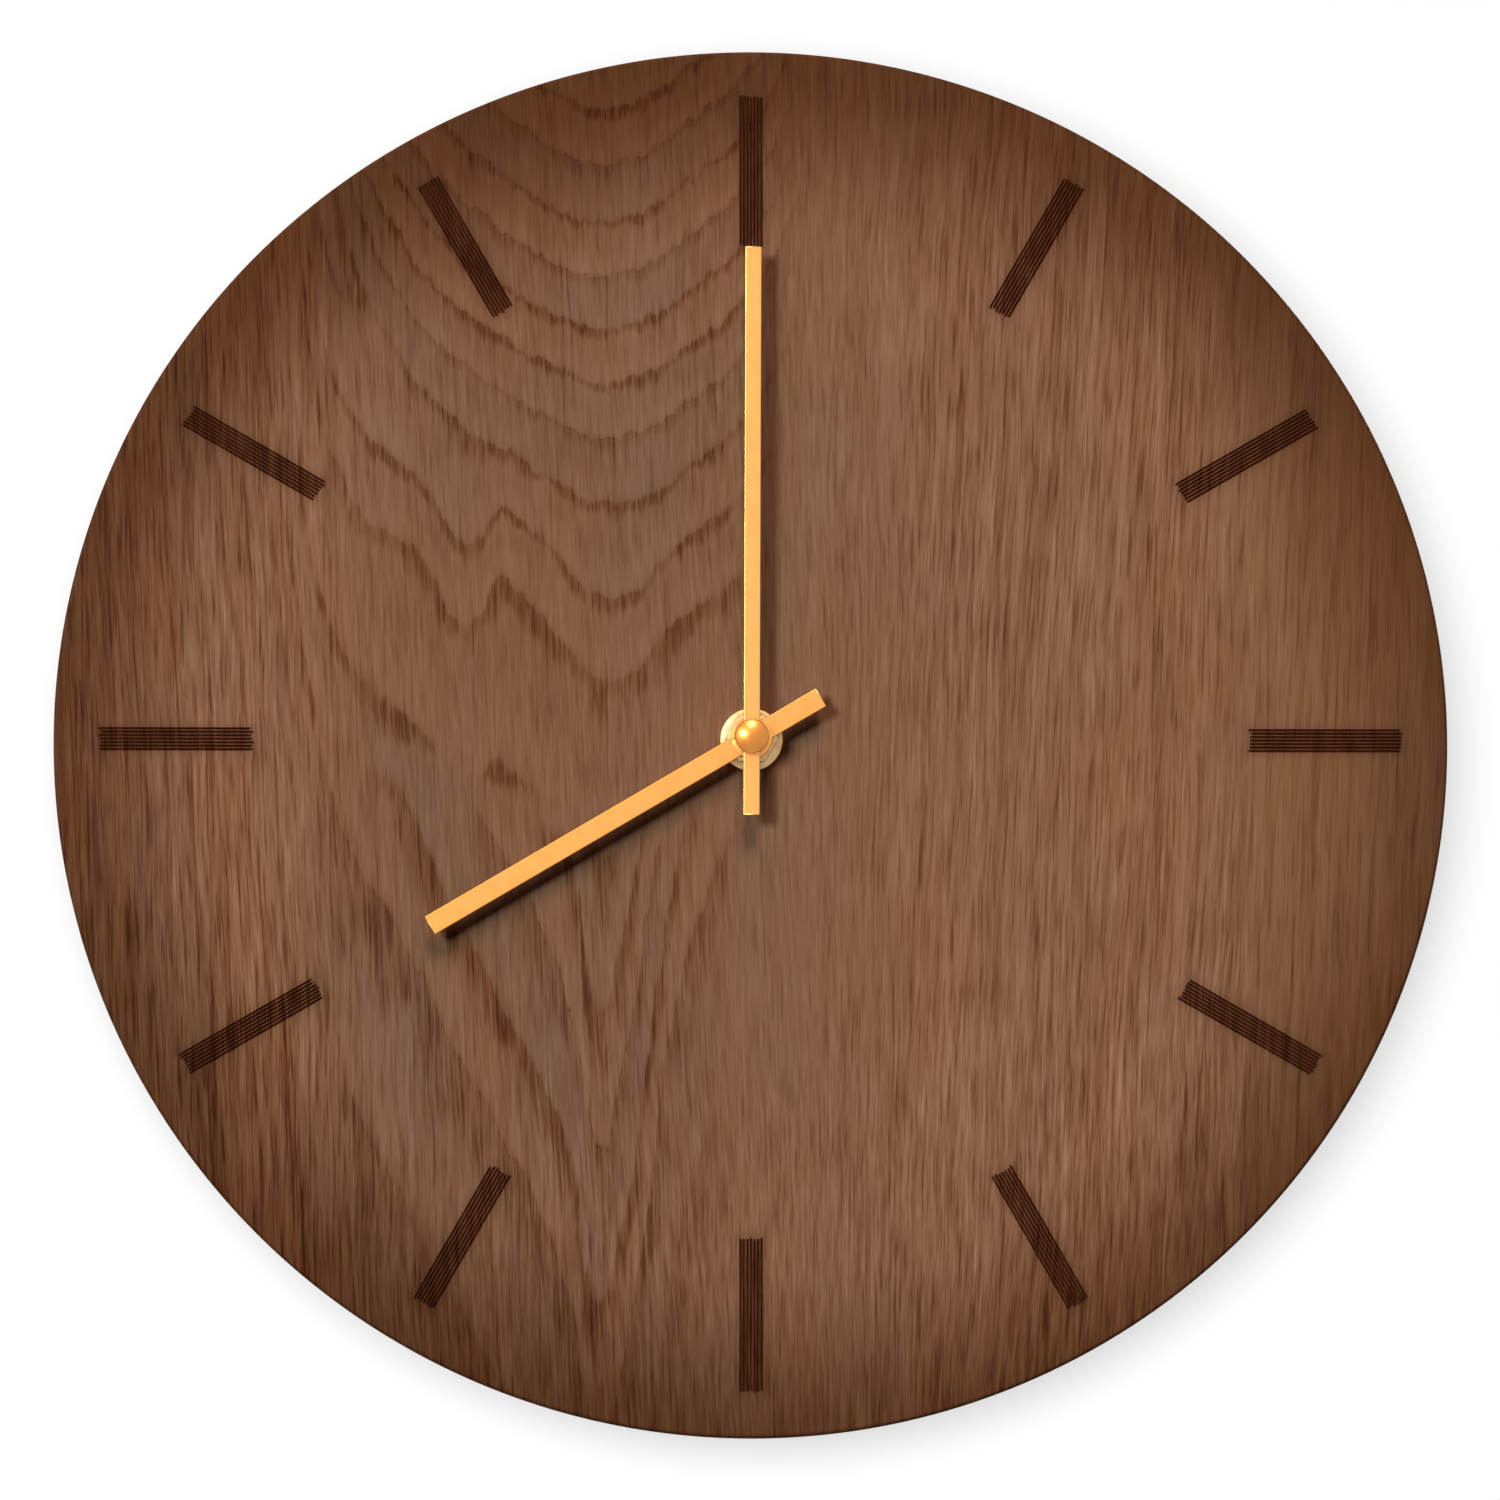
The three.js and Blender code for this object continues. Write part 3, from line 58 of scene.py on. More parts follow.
# %% The arbor and the dial face
bush_low, bush_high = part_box("threaded_bush")
board_low, board_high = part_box("dial_board")
ARBOR = Vector(((bush_low.x + bush_high.x) / 2, 0, (bush_low.z + bush_high.z) / 2))
FACE_Y = board_low.y
WALL_Y = board_high.y
DIAL_R = (board_high.x - board_low.x) / 2
print("arbor at", ARBOR[:], "face at", round(FACE_Y, 4), "radius", round(DIAL_R, 4))

# %% [markdown]
# ## Working by hand
# Each new piece starts as one of Blender's primitives and is then shaped by the same operators that a person would
# use in edit mode. An operator works on whatever is selected, so these short helpers say what is selected, turn a
# profile on a lathe, stamp a plate, and cut one shape out of another. Places are given as on a drawing of the
# clock: millimetres to the right of the arbor, behind the dial's face, and above the arbor.

# %% Helpers for modelling
def at(x, depth, z):
    """A place in metres, from millimetres right of the arbor, behind the dial's face and above the arbor."""
    return Vector((ARBOR.x + x * MM, FACE_Y + depth * MM, ARBOR.z + z * MM))


def only(piece):
    """Leave this piece, and nothing else, selected and active."""
    bpy.ops.object.select_all(action="DESELECT")
    piece.select_set(True)
    bpy.context.view_layer.objects.active = piece


def pick(piece, kind, test):
    """In edit mode, select the verts, edges or faces whose middle and normal pass a test.

    An edge has no normal here, so its test gets its direction instead.
    """
    bpy.ops.mesh.select_mode(type=kind.upper().rstrip("S"))
    bpy.ops.mesh.select_all(action="DESELECT")
    mesh = bmesh.from_edit_mesh(piece.data)
    for part in getattr(mesh, kind):
        if kind == "verts":
            chosen = test(part.co, part.normal)
        elif kind == "edges":
            ends = [end.co for end in part.verts]
            chosen = test((ends[0] + ends[1]) / 2, (ends[1] - ends[0]).normalized())
        else:
            chosen = test(part.calc_center_median(), part.normal)
        if chosen:
            part.select_set(True)
    mesh.select_flush_mode()
    bmesh.update_edit_mesh(piece.data)


def close_up(piece):
    """In edit mode, merge doubles, turn every face outwards, and go back to object mode."""
    bpy.ops.mesh.select_all(action="SELECT")
    bpy.ops.mesh.remove_doubles(threshold=0.0005 * MM)
    bpy.ops.mesh.normals_make_consistent(inside=False)
    bpy.ops.object.mode_set(mode="OBJECT")


def turned(name, profile, centre=(0, 0), steps=64):
    """A piece turned on a lathe, from pairs of radius and depth in millimetres."""
    x, z = centre
    bpy.ops.object.select_all(action="DESELECT")
    bpy.ops.mesh.primitive_plane_add(size=MM, location=at(x, 0, z))
    piece = bpy.context.object
    piece.name = name
    bpy.ops.object.transform_apply(location=True, rotation=True, scale=True)
    bpy.ops.object.mode_set(mode="EDIT")
    bpy.ops.mesh.select_mode(type="VERT")
    bpy.ops.mesh.select_all(action="SELECT")
    bpy.ops.mesh.merge(type="CENTER")
    here = at(x, 0, z)
    for number, (radius, depth) in enumerate(profile):
        step = at(x + radius, depth, z) - here
        if number == 0:
            bpy.ops.transform.translate(value=step)
        else:
            bpy.ops.mesh.extrude_vertices_move(TRANSFORM_OT_translate={"value": step})
        here = at(x + radius, depth, z)
    bpy.ops.mesh.select_all(action="SELECT")
    bpy.ops.mesh.spin(steps=steps, angle=math.tau, center=at(x, 0, z), axis=(0, 1, 0))
    close_up(piece)
    return piece


def rod(name, radius, front, back, centre=(0, 0), steps=48):
    """A plain round rod between two depths, mostly to cut a hole with."""
    return turned(name, [(0, front), (radius, front), (radius, back), (0, back)], centre, steps)


def stamped(name, low, high, front, back, corner=0.0, steps=8):
    """A flat plate between two corners (x, z) and two depths, with rounded corners."""
    middle = at((low[0] + high[0]) / 2, front, (low[1] + high[1]) / 2)
    bpy.ops.object.select_all(action="DESELECT")
    bpy.ops.mesh.primitive_plane_add(size=1, location=middle, rotation=(math.radians(90), 0, 0))
    piece = bpy.context.object
    piece.name = name
    piece.scale = ((high[0] - low[0]) * MM, (high[1] - low[1]) * MM, 1)
    bpy.ops.object.transform_apply(location=True, rotation=True, scale=True)
    bpy.ops.object.mode_set(mode="EDIT")
    bpy.ops.mesh.select_mode(type="VERT")
    bpy.ops.mesh.select_all(action="SELECT")
    if corner:
        bpy.ops.mesh.bevel(offset=corner * MM, segments=steps, affect="VERTICES")
        bpy.ops.mesh.select_all(action="SELECT")
        bpy.ops.mesh.remove_doubles(threshold=0.0005 * MM)
    bpy.ops.mesh.extrude_region_move(TRANSFORM_OT_translate={"value": (0, (back - front) * MM, 0)})
    close_up(piece)
    return piece


def combine(piece, tool, way="DIFFERENCE"):
    """Cut a tool out of a piece, join it on, or keep what both share."""
    only(piece)
    bpy.ops.object.modifier_add(type="BOOLEAN")
    change = piece.modifiers[-1]
    change.operation = way
    change.solver = "EXACT"
    change.object = tool
    bpy.ops.object.modifier_apply(modifier=change.name)
    bpy.data.objects.remove(tool)


def copied(piece, name, move=(0, 0, 0), turn=0.0, about=(0, 0)):
    """A copy with a mesh of its own, moved in millimetres or turned clockwise about an axis."""
    only(piece)
    bpy.ops.object.duplicate(linked=False)
    copy = bpy.context.object
    copy.name = name
    bpy.ops.object.mode_set(mode="EDIT")
    bpy.ops.mesh.select_mode(type="VERT")
    bpy.ops.mesh.select_all(action="SELECT")
    if any(move):
        bpy.ops.transform.translate(value=[step * MM for step in move])
    if turn:
        bpy.ops.transform.rotate(value=-turn, orient_axis="Y", center_override=at(about[0], 0, about[1]))
    bpy.ops.object.mode_set(mode="OBJECT")
    return copy


def joined(pieces, name):
    """Several pieces as one."""
    bpy.ops.object.select_all(action="DESELECT")
    for piece in pieces:
        piece.select_set(True)
    bpy.context.view_layer.objects.active = pieces[0]
    bpy.ops.object.join()
    bpy.context.object.name = name
    return bpy.context.object


def soften(piece, width, steps=3, angle=30.0):
    """Round every edge that is sharper than an angle."""
    only(piece)
    bpy.ops.object.modifier_add(type="BEVEL")
    change = piece.modifiers[-1]
    change.width = width * MM
    change.segments = steps
    change.limit_method = "ANGLE"
    change.angle_limit = math.radians(angle)
    bpy.ops.object.modifier_apply(modifier=change.name)


def dress(piece, finish, body, replaced, angle=35.0, flat=False):
    """Smooth a finished piece, give it its finish, attach it to its body, and hide the solids it stands for."""
    only(piece)
    bpy.ops.object.shade_smooth_by_angle(angle=math.radians(angle))
    if flat:
        # the large faces keep their own normals, and only the narrow rounding between them is smoothed
        bpy.ops.object.modifier_add(type="WEIGHTED_NORMAL")
        change = piece.modifiers[-1]
        change.keep_sharp = True
        bpy.ops.object.modifier_apply(modifier=change.name)
    piece.data.materials.clear()
    piece.data.materials.append(finish.material)
    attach(piece, body)
    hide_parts(*replaced)
    low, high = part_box(replaced[0])
    mine = [piece.matrix_world @ vertex.co for vertex in piece.data.vertices]
    gap = max(max(low[axis] - min(place[axis] for place in mine), max(place[axis] for place in mine) - high[axis])
              for axis in range(3))
    print(piece.name, len(piece.data.polygons), "faces, past its solid by", round(gap / MM, 3), "mm")


# %% [markdown]
# ## The camera
# A clock on a wall is photographed from some way off with a long lens, which keeps the round dial round. This one
# stands a little below the dial and a hair to its left. A long lens and a distance are found together: the lens
# sets how fast things shrink with depth, and the distance then sets the size in the frame.

# %% The camera
CAMERA_DISTANCE = 2.119
CAMERA_BELOW = math.radians(6.05)
CAMERA_LEFT = math.radians(0.96)
LENS = 236.4
SENSOR = 36
AIM_SHIFT = Vector((-0.27, 0, -2.18)) * MM
dial_centre = Vector((ARBOR.x, FACE_Y, ARBOR.z))
towards_camera = Vector((
    -math.sin(CAMERA_LEFT) * math.cos(CAMERA_BELOW),
    -math.cos(CAMERA_LEFT) * math.cos(CAMERA_BELOW),
    -math.sin(CAMERA_BELOW)))
aim = dial_centre + AIM_SHIFT
camera_data = bpy.data.cameras.new("camera")
camera_data.lens = LENS
camera_data.sensor_width = SENSOR
camera = bpy.data.objects.new("camera", camera_data)
bpy.context.scene.collection.objects.link(camera)
camera.location = dial_centre + towards_camera * CAMERA_DISTANCE
camera.rotation_euler = (aim - camera.location).to_track_quat("-Z", "Y").to_euler()
bpy.context.scene.camera = camera
print("camera at", [round(v, 3) for v in camera.location])

# %% [markdown]
# ## The wall behind
# The clock hangs on a plain white wall, and all that the wall shows is a soft grey shadow beside the rim. The wall
# glows a good part of the way to white and lamps of its own add the rest, so only that last part can be shadowed.
# Seen from behind, the wall is clear, so that it doesn't hide the back of the clock.

# %% The wall
WALL_GLOW = 0.6
WALL_GREY = 1 - WALL_GLOW
WALL_GAP = 0.4 * MM
WALL_SIZE = 1.6
bpy.ops.object.select_all(action="DESELECT")
bpy.ops.mesh.primitive_plane_add(size=WALL_SIZE, location=(0, WALL_Y + WALL_GAP, ARBOR.z),
                                 rotation=(math.radians(90), 0, 0))
wall = bpy.context.object
wall.name = "wall"
bpy.ops.object.transform_apply(location=True, rotation=True, scale=True)
for kind in ("diffuse", "glossy", "transmission", "shadow"):
    setattr(wall, "visible_" + kind, False)
wall_paint = bpy.data.materials.new("wall_paint")
wall_paint.use_nodes = True
tree = wall_paint.node_tree
tree.nodes.clear()
glow = tree.nodes.new("ShaderNodeEmission")
glow.inputs["Strength"].default_value = WALL_GLOW
matt = tree.nodes.new("ShaderNodeBsdfDiffuse")
matt.inputs["Color"].default_value = (WALL_GREY, WALL_GREY, WALL_GREY, 1)
both = tree.nodes.new("ShaderNodeAddShader")
clear = tree.nodes.new("ShaderNodeBsdfTransparent")
side = tree.nodes.new("ShaderNodeNewGeometry")
choose = tree.nodes.new("ShaderNodeMixShader")
sheet = tree.nodes.new("ShaderNodeOutputMaterial")
tree.links.new(glow.outputs[0], both.inputs[0])
tree.links.new(matt.outputs[0], both.inputs[1])
tree.links.new(side.outputs["Backfacing"], choose.inputs["Fac"])
tree.links.new(both.outputs[0], choose.inputs[1])
tree.links.new(clear.outputs[0], choose.inputs[2])
tree.links.new(choose.outputs[0], sheet.inputs["Surface"])
wall.data.materials.append(wall_paint)
print("wall at y =", round(WALL_Y + WALL_GAP, 5))

# %% [markdown]
# ## Light
# The shadow of each hand falls to the right and a little down, so the main lamp stands up and to the left. A second
# lamp above fills in, which darkens what lies under the slanting hour hand but not what lies beside the upright
# minute hand. What is left in a shadow is warm, so the lamp above is warmer than the main one. A lamp's power is
# worked out from the share of the light that it gives to a white card on the dial, and the shares of each colour
# add up to one, so a colour shows about as it is written. The wall has a lamp of its own, as wide as a window, which
# gives the soft grey beside the rim: broad at the lower right, and almost nothing at the upper left.

# %% Lamps
LAMP_DISTANCE = 4.0


def lamp(name, towards, width, share, colour=(1, 1, 1), only=None, without=None):
    """An area lamp that gives this share of the light on a card facing the front."""
    aim_from = Vector(towards).normalized()
    facing = abs(aim_from.y)
    data = bpy.data.lights.new(name, "AREA")
    data.shape = "DISK"
    data.size = width
    data.energy = share * math.pi ** 2 * (LAMP_DISTANCE ** 2 + (width / 2) ** 2) / facing
    data.color = colour
    made = bpy.data.objects.new(name, data)
    bpy.context.scene.collection.objects.link(made)
    made.location = dial_centre + aim_from * LAMP_DISTANCE
    made.rotation_euler = (-aim_from).to_track_quat("-Z", "Y").to_euler()
    for chosen, state in ((only, "INCLUDE"), (without, "EXCLUDE")):
        if chosen is not None:
            group = bpy.data.collections.new(name + "_" + state.lower())
            group.objects.link(chosen)
            group.collection_objects[0].light_linking.link_state = state
            made.light_linking.receiver_collection = group
    print(name, round(data.energy, 1), "W")


AMBIENT = 0.03
KEY_SHARE = 0.62
TOP_SHARE = 1 - AMBIENT - KEY_SHARE
KEY_COLOUR = (0.9, 1.02, 1.1)
TOP_COLOUR = [(1 - AMBIENT - KEY_SHARE * key) / TOP_SHARE for key in KEY_COLOUR]
lamp("key_lamp", (-0.65, -1, 0.27), 1.1, KEY_SHARE, KEY_COLOUR, without=wall)
lamp("top_lamp", (0, -1, 1.25), 1.3, TOP_SHARE, TOP_COLOUR, without=wall)
lamp("wall_lamp", (-0.16, -1, 0.02), 3.1, 1.0, only=wall)
lamp("back_key_lamp", (0.6, 1, 0.5), 1.6, 0.5)
lamp("back_fill_lamp", (-0.7, 1, -0.1), 2.4, 0.25)

# %% The sky
# full white where it is seen or mirrored, and faint where it only lights a surface
world = bpy.data.worlds.new("studio")
bpy.context.scene.world = world
world.use_nodes = True
tree = world.node_tree
sky = tree.nodes["Background"]
sky.inputs["Color"].default_value = (1, 1, 1, 1)
rays = tree.nodes.new("ShaderNodeLightPath")
full = rays.outputs["Is Camera Ray"]
for kind in ("Is Glossy Ray", "Is Transmission Ray"):
    either = tree.nodes.new("ShaderNodeMath")
    either.operation = "MAXIMUM"
    tree.links.new(full, either.inputs[0])
    tree.links.new(rays.outputs[kind], either.inputs[1])
    full = either.outputs[0]
strength = tree.nodes.new("ShaderNodeMapRange")
strength.inputs["To Min"].default_value = AMBIENT
tree.links.new(full, strength.inputs["Value"])
tree.links.new(strength.outputs["Result"], sky.inputs["Strength"])
bpy.context.scene.view_settings.view_transform = "Standard"
print("sky gives", AMBIENT, "of the light on a surface")

# %% [markdown]
# ## Writing materials as sums
# A wood grain is a long piece of arithmetic on a point's place. Wiring every step by hand hides that, so one small
# class wraps a socket and lets Python's own signs add the nodes, and a material object adds any other node.

# %% A socket that can be reckoned with
class Wire:
    """A socket that adds Math nodes when it is used in a sum."""

    def __init__(self, finish, socket):
        self.finish = finish
        self.socket = socket

    def reckon(self, operation, *others):
        return self.finish.node("Math", {"operation": operation}, dict(enumerate((self, *others))))

    def __add__(self, other):
        return self.reckon("ADD", other)

    def __sub__(self, other):
        return self.reckon("SUBTRACT", other)

    def __rsub__(self, other):
        return self.finish.node("Math", {"operation": "SUBTRACT"}, {0: other, 1: self})

    def __mul__(self, other):
        return self.reckon("MULTIPLY", other)

    def __truediv__(self, other):
        return self.reckon("DIVIDE", other)

    __radd__ = __add__
    __rmul__ = __mul__


class Finish:
    """A material with one Principled shader, and the nodes that feed it."""

    def __init__(self, name, **constants):
        self.material = bpy.data.materials.new(name)
        self.material.use_nodes = True
        self.tree = self.material.node_tree
        self.shader = self.tree.nodes["Principled BSDF"]
        for socket, value in constants.items():
            self.shader.inputs[socket.replace("_", " ")].default_value = value

    def node(self, kind, settings=None, sockets=None, out=0):
        made = self.tree.nodes.new("ShaderNode" + kind)
        for key, value in (settings or {}).items():
            if key == "stops":
                self.set_stops(made.color_ramp, value)
            elif key == "points":
                self.set_points(made.mapping, value)
            else:
                setattr(made, key, value)
        for key, value in (sockets or {}).items():
            self.plug(made.inputs[key], value)
        return Wire(self, made.outputs[out])

    def plug(self, socket, value):
        if isinstance(value, Wire):
            self.tree.links.new(value.socket, socket)
        else:
            socket.default_value = value

    def feed(self, **values):
        for name, value in values.items():
            self.plug(self.shader.inputs[name.replace("_", " ")], value)

    @staticmethod
    def set_stops(ramp, stops):
        while len(ramp.elements) < len(stops):
            ramp.elements.new(0.5)
        for element, (place, colour) in zip(ramp.elements, stops):
            element.position = place
            element.color = colour

    @staticmethod
    def set_points(mapping, points):
        mapping.use_clip = False
        curve = mapping.curves[0]
        while len(curve.points) < len(points):
            curve.points.new(0.5, 0.5)
        for point, place in zip(curve.points, points):
            point.location = place
            point.handle_type = "AUTO"
        mapping.update()

    def place(self, centre):
        """The point's place from a centre, in millimetres."""
        spot = self.node("TexCoord", out="Object")
        return self.stretch(spot, (1 / MM, 1 / MM, 1 / MM), [-middle / MM for middle in centre])

    def noise(self, where, scale=1.0, detail=2.0, rough=0.5):
        return self.node("TexNoise", {"noise_dimensions": "3D"}, {
            "Vector": where, "Scale": scale, "Detail": detail, "Roughness": rough})

    def parts(self, vector):
        """The three numbers of a vector."""
        made = self.node("SeparateXYZ", sockets={0: vector}).socket.node
        return [Wire(self, socket) for socket in made.outputs]

    def stretch(self, where, scale, shift=(0, 0, 0)):
        return self.node("Mapping", {"vector_type": "POINT"},
                         {"Vector": where, "Scale": scale, "Location": shift})

    def between(self, value, low, high, to_low=0.0, to_high=1.0, smooth=True):
        kind = "SMOOTHSTEP" if smooth else "LINEAR"
        return self.node("MapRange", {"interpolation_type": kind}, {
            "Value": value, "From Min": low, "From Max": high, "To Min": to_low, "To Max": to_high})

    def mix(self, factor, one, two):
        """Two numbers mixed."""
        return factor * (two - one) + one

    def tint(self, factor, one, two, way="MIX"):
        """Two colours mixed."""
        made = self.tree.nodes.new("ShaderNodeMix")
        made.data_type = "RGBA"
        made.blend_type = way
        for socket, value in ((0, factor), (6, one), (7, two)):
            self.plug(made.inputs[socket], value)
        return Wire(self, made.outputs[2])

    def ramp(self, value, stops):
        return self.node("ValToRGB", {"stops": stops}, {0: value})

    def bump(self, height, distance, strength=1.0):
        return self.node("Bump", sockets={"Height": height, "Distance": distance, "Strength": strength})


def shown(red, green, blue):
    """A colour as a screen shows it, from 0 to 255, as the light that a shader reckons in."""
    def light(level):
        level = level / 255
        return level / 12.92 if level <= 0.04045 else ((level + 0.055) / 1.055) ** 2.4
    return (light(red), light(green), light(blue), 1)


print("white card:", shown(255, 255, 255), "mid grey:", round(shown(128, 128, 128)[0], 3))

# %% [markdown]
# ## Oak
# A flat-sawn oak board shows its growth rings as nested arches, here hanging down left of the middle, and as
# almost straight lines at both sides. Oak's early wood has wide pores, so a ring shows as a ragged band of short
# dark dashes that all run with the fibre. The board could be drawn as a picture, but a ring field is closer to the
# tree: one number for each point, which counts rings, and whose whole values are the ring lines. Three curves give
# how far a ring line rises above its lowest point, across the board: one for the top arches, one for the
# zigzag under them, and one for the steep ones below.

# %% The ring lines' rise across the board
# pairs of mm right of the arbor and mm of rise
TOP_RISE = ((-162, 930), (-135, 510), (-119, 285), (-106, 182), (-97, 112), (-93, 84), (-86, 54), (-75.5, 32),
            (-67, 20.5), (-58, 13), (-45, 5.2), (-32.5, 0), (-22, 2.6), (-11, 10.3), (-2.4, 18), (6, 32), (17, 71),
            (32, 172), (54, 323), (162, 860))
ZIGZAG_RISE = ((-162, 900), (-135, 480), (-119, 255), (-106, 152), (-97, 86), (-93, 60), (-86, 41), (-75.5, 30),
               (-69, 22.6), (-65, 14.6), (-59, 13.3), (-55, 21.5), (-49.7, 17.2), (-43, 10.3), (-38, 3.2),
               (-32.5, 0), (-24, 2.6), (-20, 8.6), (-11, 17.2), (-2.4, 23.6), (6, 36), (17, 71), (32, 172),
               (162, 860))
STEEP_RISE = ((-162, 940), (-135, 520), (-119, 296), (-106, 196), (-97, 140), (-93, 118), (-86, 98), (-75.5, 82),
              (-65, 66), (-54, 50), (-45, 37), (-40, 29), (-37, 20), (-31.4, 0), (-27, 13), (-24, 23.7),
              (-20.7, 43), (-13, 80), (-2.4, 103), (6, 118), (17, 152), (32, 253), (162, 940))
# pairs of mm down from the top arch's lowest point and the number of rings passed
RINGS = ((-46.3, -4), (-25, -2), (-12.5, -1), (0, 0), (12.3, 1), (23.7, 2), (36, 3), (48.4, 4), (62.4, 5),
         (83.9, 6), (101, 7), (138.7, 8), (171, 9), (201, 10), (233.4, 11), (265, 12), (330, 13.2), (450, 15),
         (640, 17.5), (1250, 24))
STEEPER = 1.3
TOP_ARCH = 112.9  # mm above the arbor, at the middle of the arches
ARCH_X = -32.5
BOARD_T = (WALL_Y - FACE_Y) / MM
GRAIN_SPAN = 162
SHEEN = 0.0035  # the light that the wood's surface throws back


def wood_tone(red, green, blue):
    """A tone of the wood as seen, less the little light that its surface throws back."""
    return tuple(max(level - SHEEN, 0.001) for level in shown(red, green, blue)[:3]) + (1,)


def scaled(oak, factor, tone, by):
    """A tone multiplied by a colour, as far as the factor says."""
    return oak.tint(factor, tone, oak.tint(1.0, tone, (*by, 1), "MULTIPLY"))


# %% The ring field
def ring_field(oak, where, waves):
    """How many rings have been passed at a point, how far below the top arch it lies, and how clearly lines show."""
    x_raw, depth, z_raw = oak.parts(where)
    columns = oak.noise(oak.stretch(where, (0.24, 0.2, 0.022), (7, 0, 3)), detail=3.0, rough=0.7) - 0.5
    ragged = oak.noise(oak.stretch(where, (0.8, 0.3, 0.02), (1, 0, 8)), detail=2.0, rough=0.6) - 0.5
    x = x_raw + waves * 7 + ragged * 3
    z = z_raw + columns * 7 + waves * 10

    def rise(points):
        top = max(p[1] for p in points)
        placed = [((p[0] + GRAIN_SPAN) / (2 * GRAIN_SPAN), p[1] / top) for p in points]
        return oak.node("FloatCurve", {"points": placed}, {
            "Factor": 1.0, "Value": (x + GRAIN_SPAN) / (2 * GRAIN_SPAN)}) * top

    top, zigzag, steep = rise(TOP_RISE), rise(ZIGZAG_RISE), rise(STEEP_RISE)
    down = TOP_ARCH - z
    first = oak.mix(oak.between(down + top, 61, 81), top, zigzag)
    # the steep lines take over at once, in a calm stretch where no line shows
    low_down = down + (x - ARCH_X).reckon("ABSOLUTE") * 0.3
    calm = oak.between(low_down, 126, 129.9, 1.0, 0.0) + oak.between(low_down, 131, 140)
    calm = oak.mix(oak.between(x_raw, -106, -84), 1.0, calm)
    # the rings lie almost flat under the arches, so they are passed quickly on the way into the wood
    inwards = depth * oak.between((x - ARCH_X).reckon("ABSOLUTE"), 0, 110, 9, 3, smooth=False)
    passed = down + oak.mix(oak.between(low_down, 130, 131), first, steep * STEEPER) + inwards
    low, high = RINGS[0][0], RINGS[-1][0]
    lowest, span = RINGS[0][1], RINGS[-1][1] - RINGS[0][1]
    placed = [((a - low) / (high - low), (b - lowest) / span) for a, b in RINGS]
    ring = oak.node("FloatCurve", {"points": placed}, {"Factor": 1.0, "Value": (passed - low) / (high - low)})
    return ring * span + lowest, down, calm


print("ring lines placed:", len(RINGS), "between", RINGS[0][0], "and", RINGS[-1][0], "mm below the top arch")

# %% [markdown]
# A ring line is a ragged band of pores. It is clear in the arches, fainter at the far left, and gone on the straight
# side to the right, where the rings stand on edge and only the fibre shows. The whole part of the field numbers the
# ring, so each ring can have its own strength and tone, and the fraction says how far a point lies past its line.

# %% Where the rings show
def ring_lines(oak, where, waves):
    """The dark lines, the late wood, a number for each ring, and where the arches, sides and low rings are."""
    x_raw = oak.parts(where)[0]
    ring, down, calm = ring_field(oak, where, waves)
    phase = ring.reckon("FRACT")
    each = oak.node("TexWhiteNoise", {"noise_dimensions": "1D"}, {"W": ring.reckon("FLOOR") * 1.37 + 0.5})
    arch = oak.between(x_raw + down * 0.08, -6, 16, 1.0, 0.0)
    side = oak.between((x_raw + 30).reckon("ABSOLUTE"), 34, 78) * oak.between(x_raw, 90, 120, 1.0, 0.35)
    side = side + oak.between(down, 120, 190) * arch * 0.5
    clump = oak.noise(oak.stretch(where, (0.15, 0.1, 0.06), (0, 0, 9)), detail=3.0, rough=0.6)
    low = oak.between(down, 96, 150)
    thick = oak.between(clump, 0.34, 0.66, 0.1, 0.32) + low * 0.26
    line = oak.between(phase / thick, 0.25, 1.1, 1.0, 0.0) + oak.between(phase, 0.94, 1.0)
    faint = oak.between(x_raw, -110, -76, 0.35, 0.85) * oak.between(low, 0, 1, 1.0, 0.85)
    strength = oak.mix(oak.between(clump, 0.3, 0.6), 0.4, 1.0) * arch * faint * calm
    strength = strength * oak.between(each, 0.15, 0.5, 0.6, 1.1)
    late = oak.between(phase, 0.45, 0.8) - oak.between(phase, 0.86, 0.95)
    return line * strength, late * strength, each, arch, side, low


# %% [markdown]
# Between the lines the wood is fibre, and no single noise looks like it. Broad bands, narrower streaks and fine
# threads lie over each other, all drawn out along the grain, with short dark pores and thin pale rays on top. They
# are added up to one number about a middle of 0.5, from which the wood's tone is read, and to a small height for
# the relief.

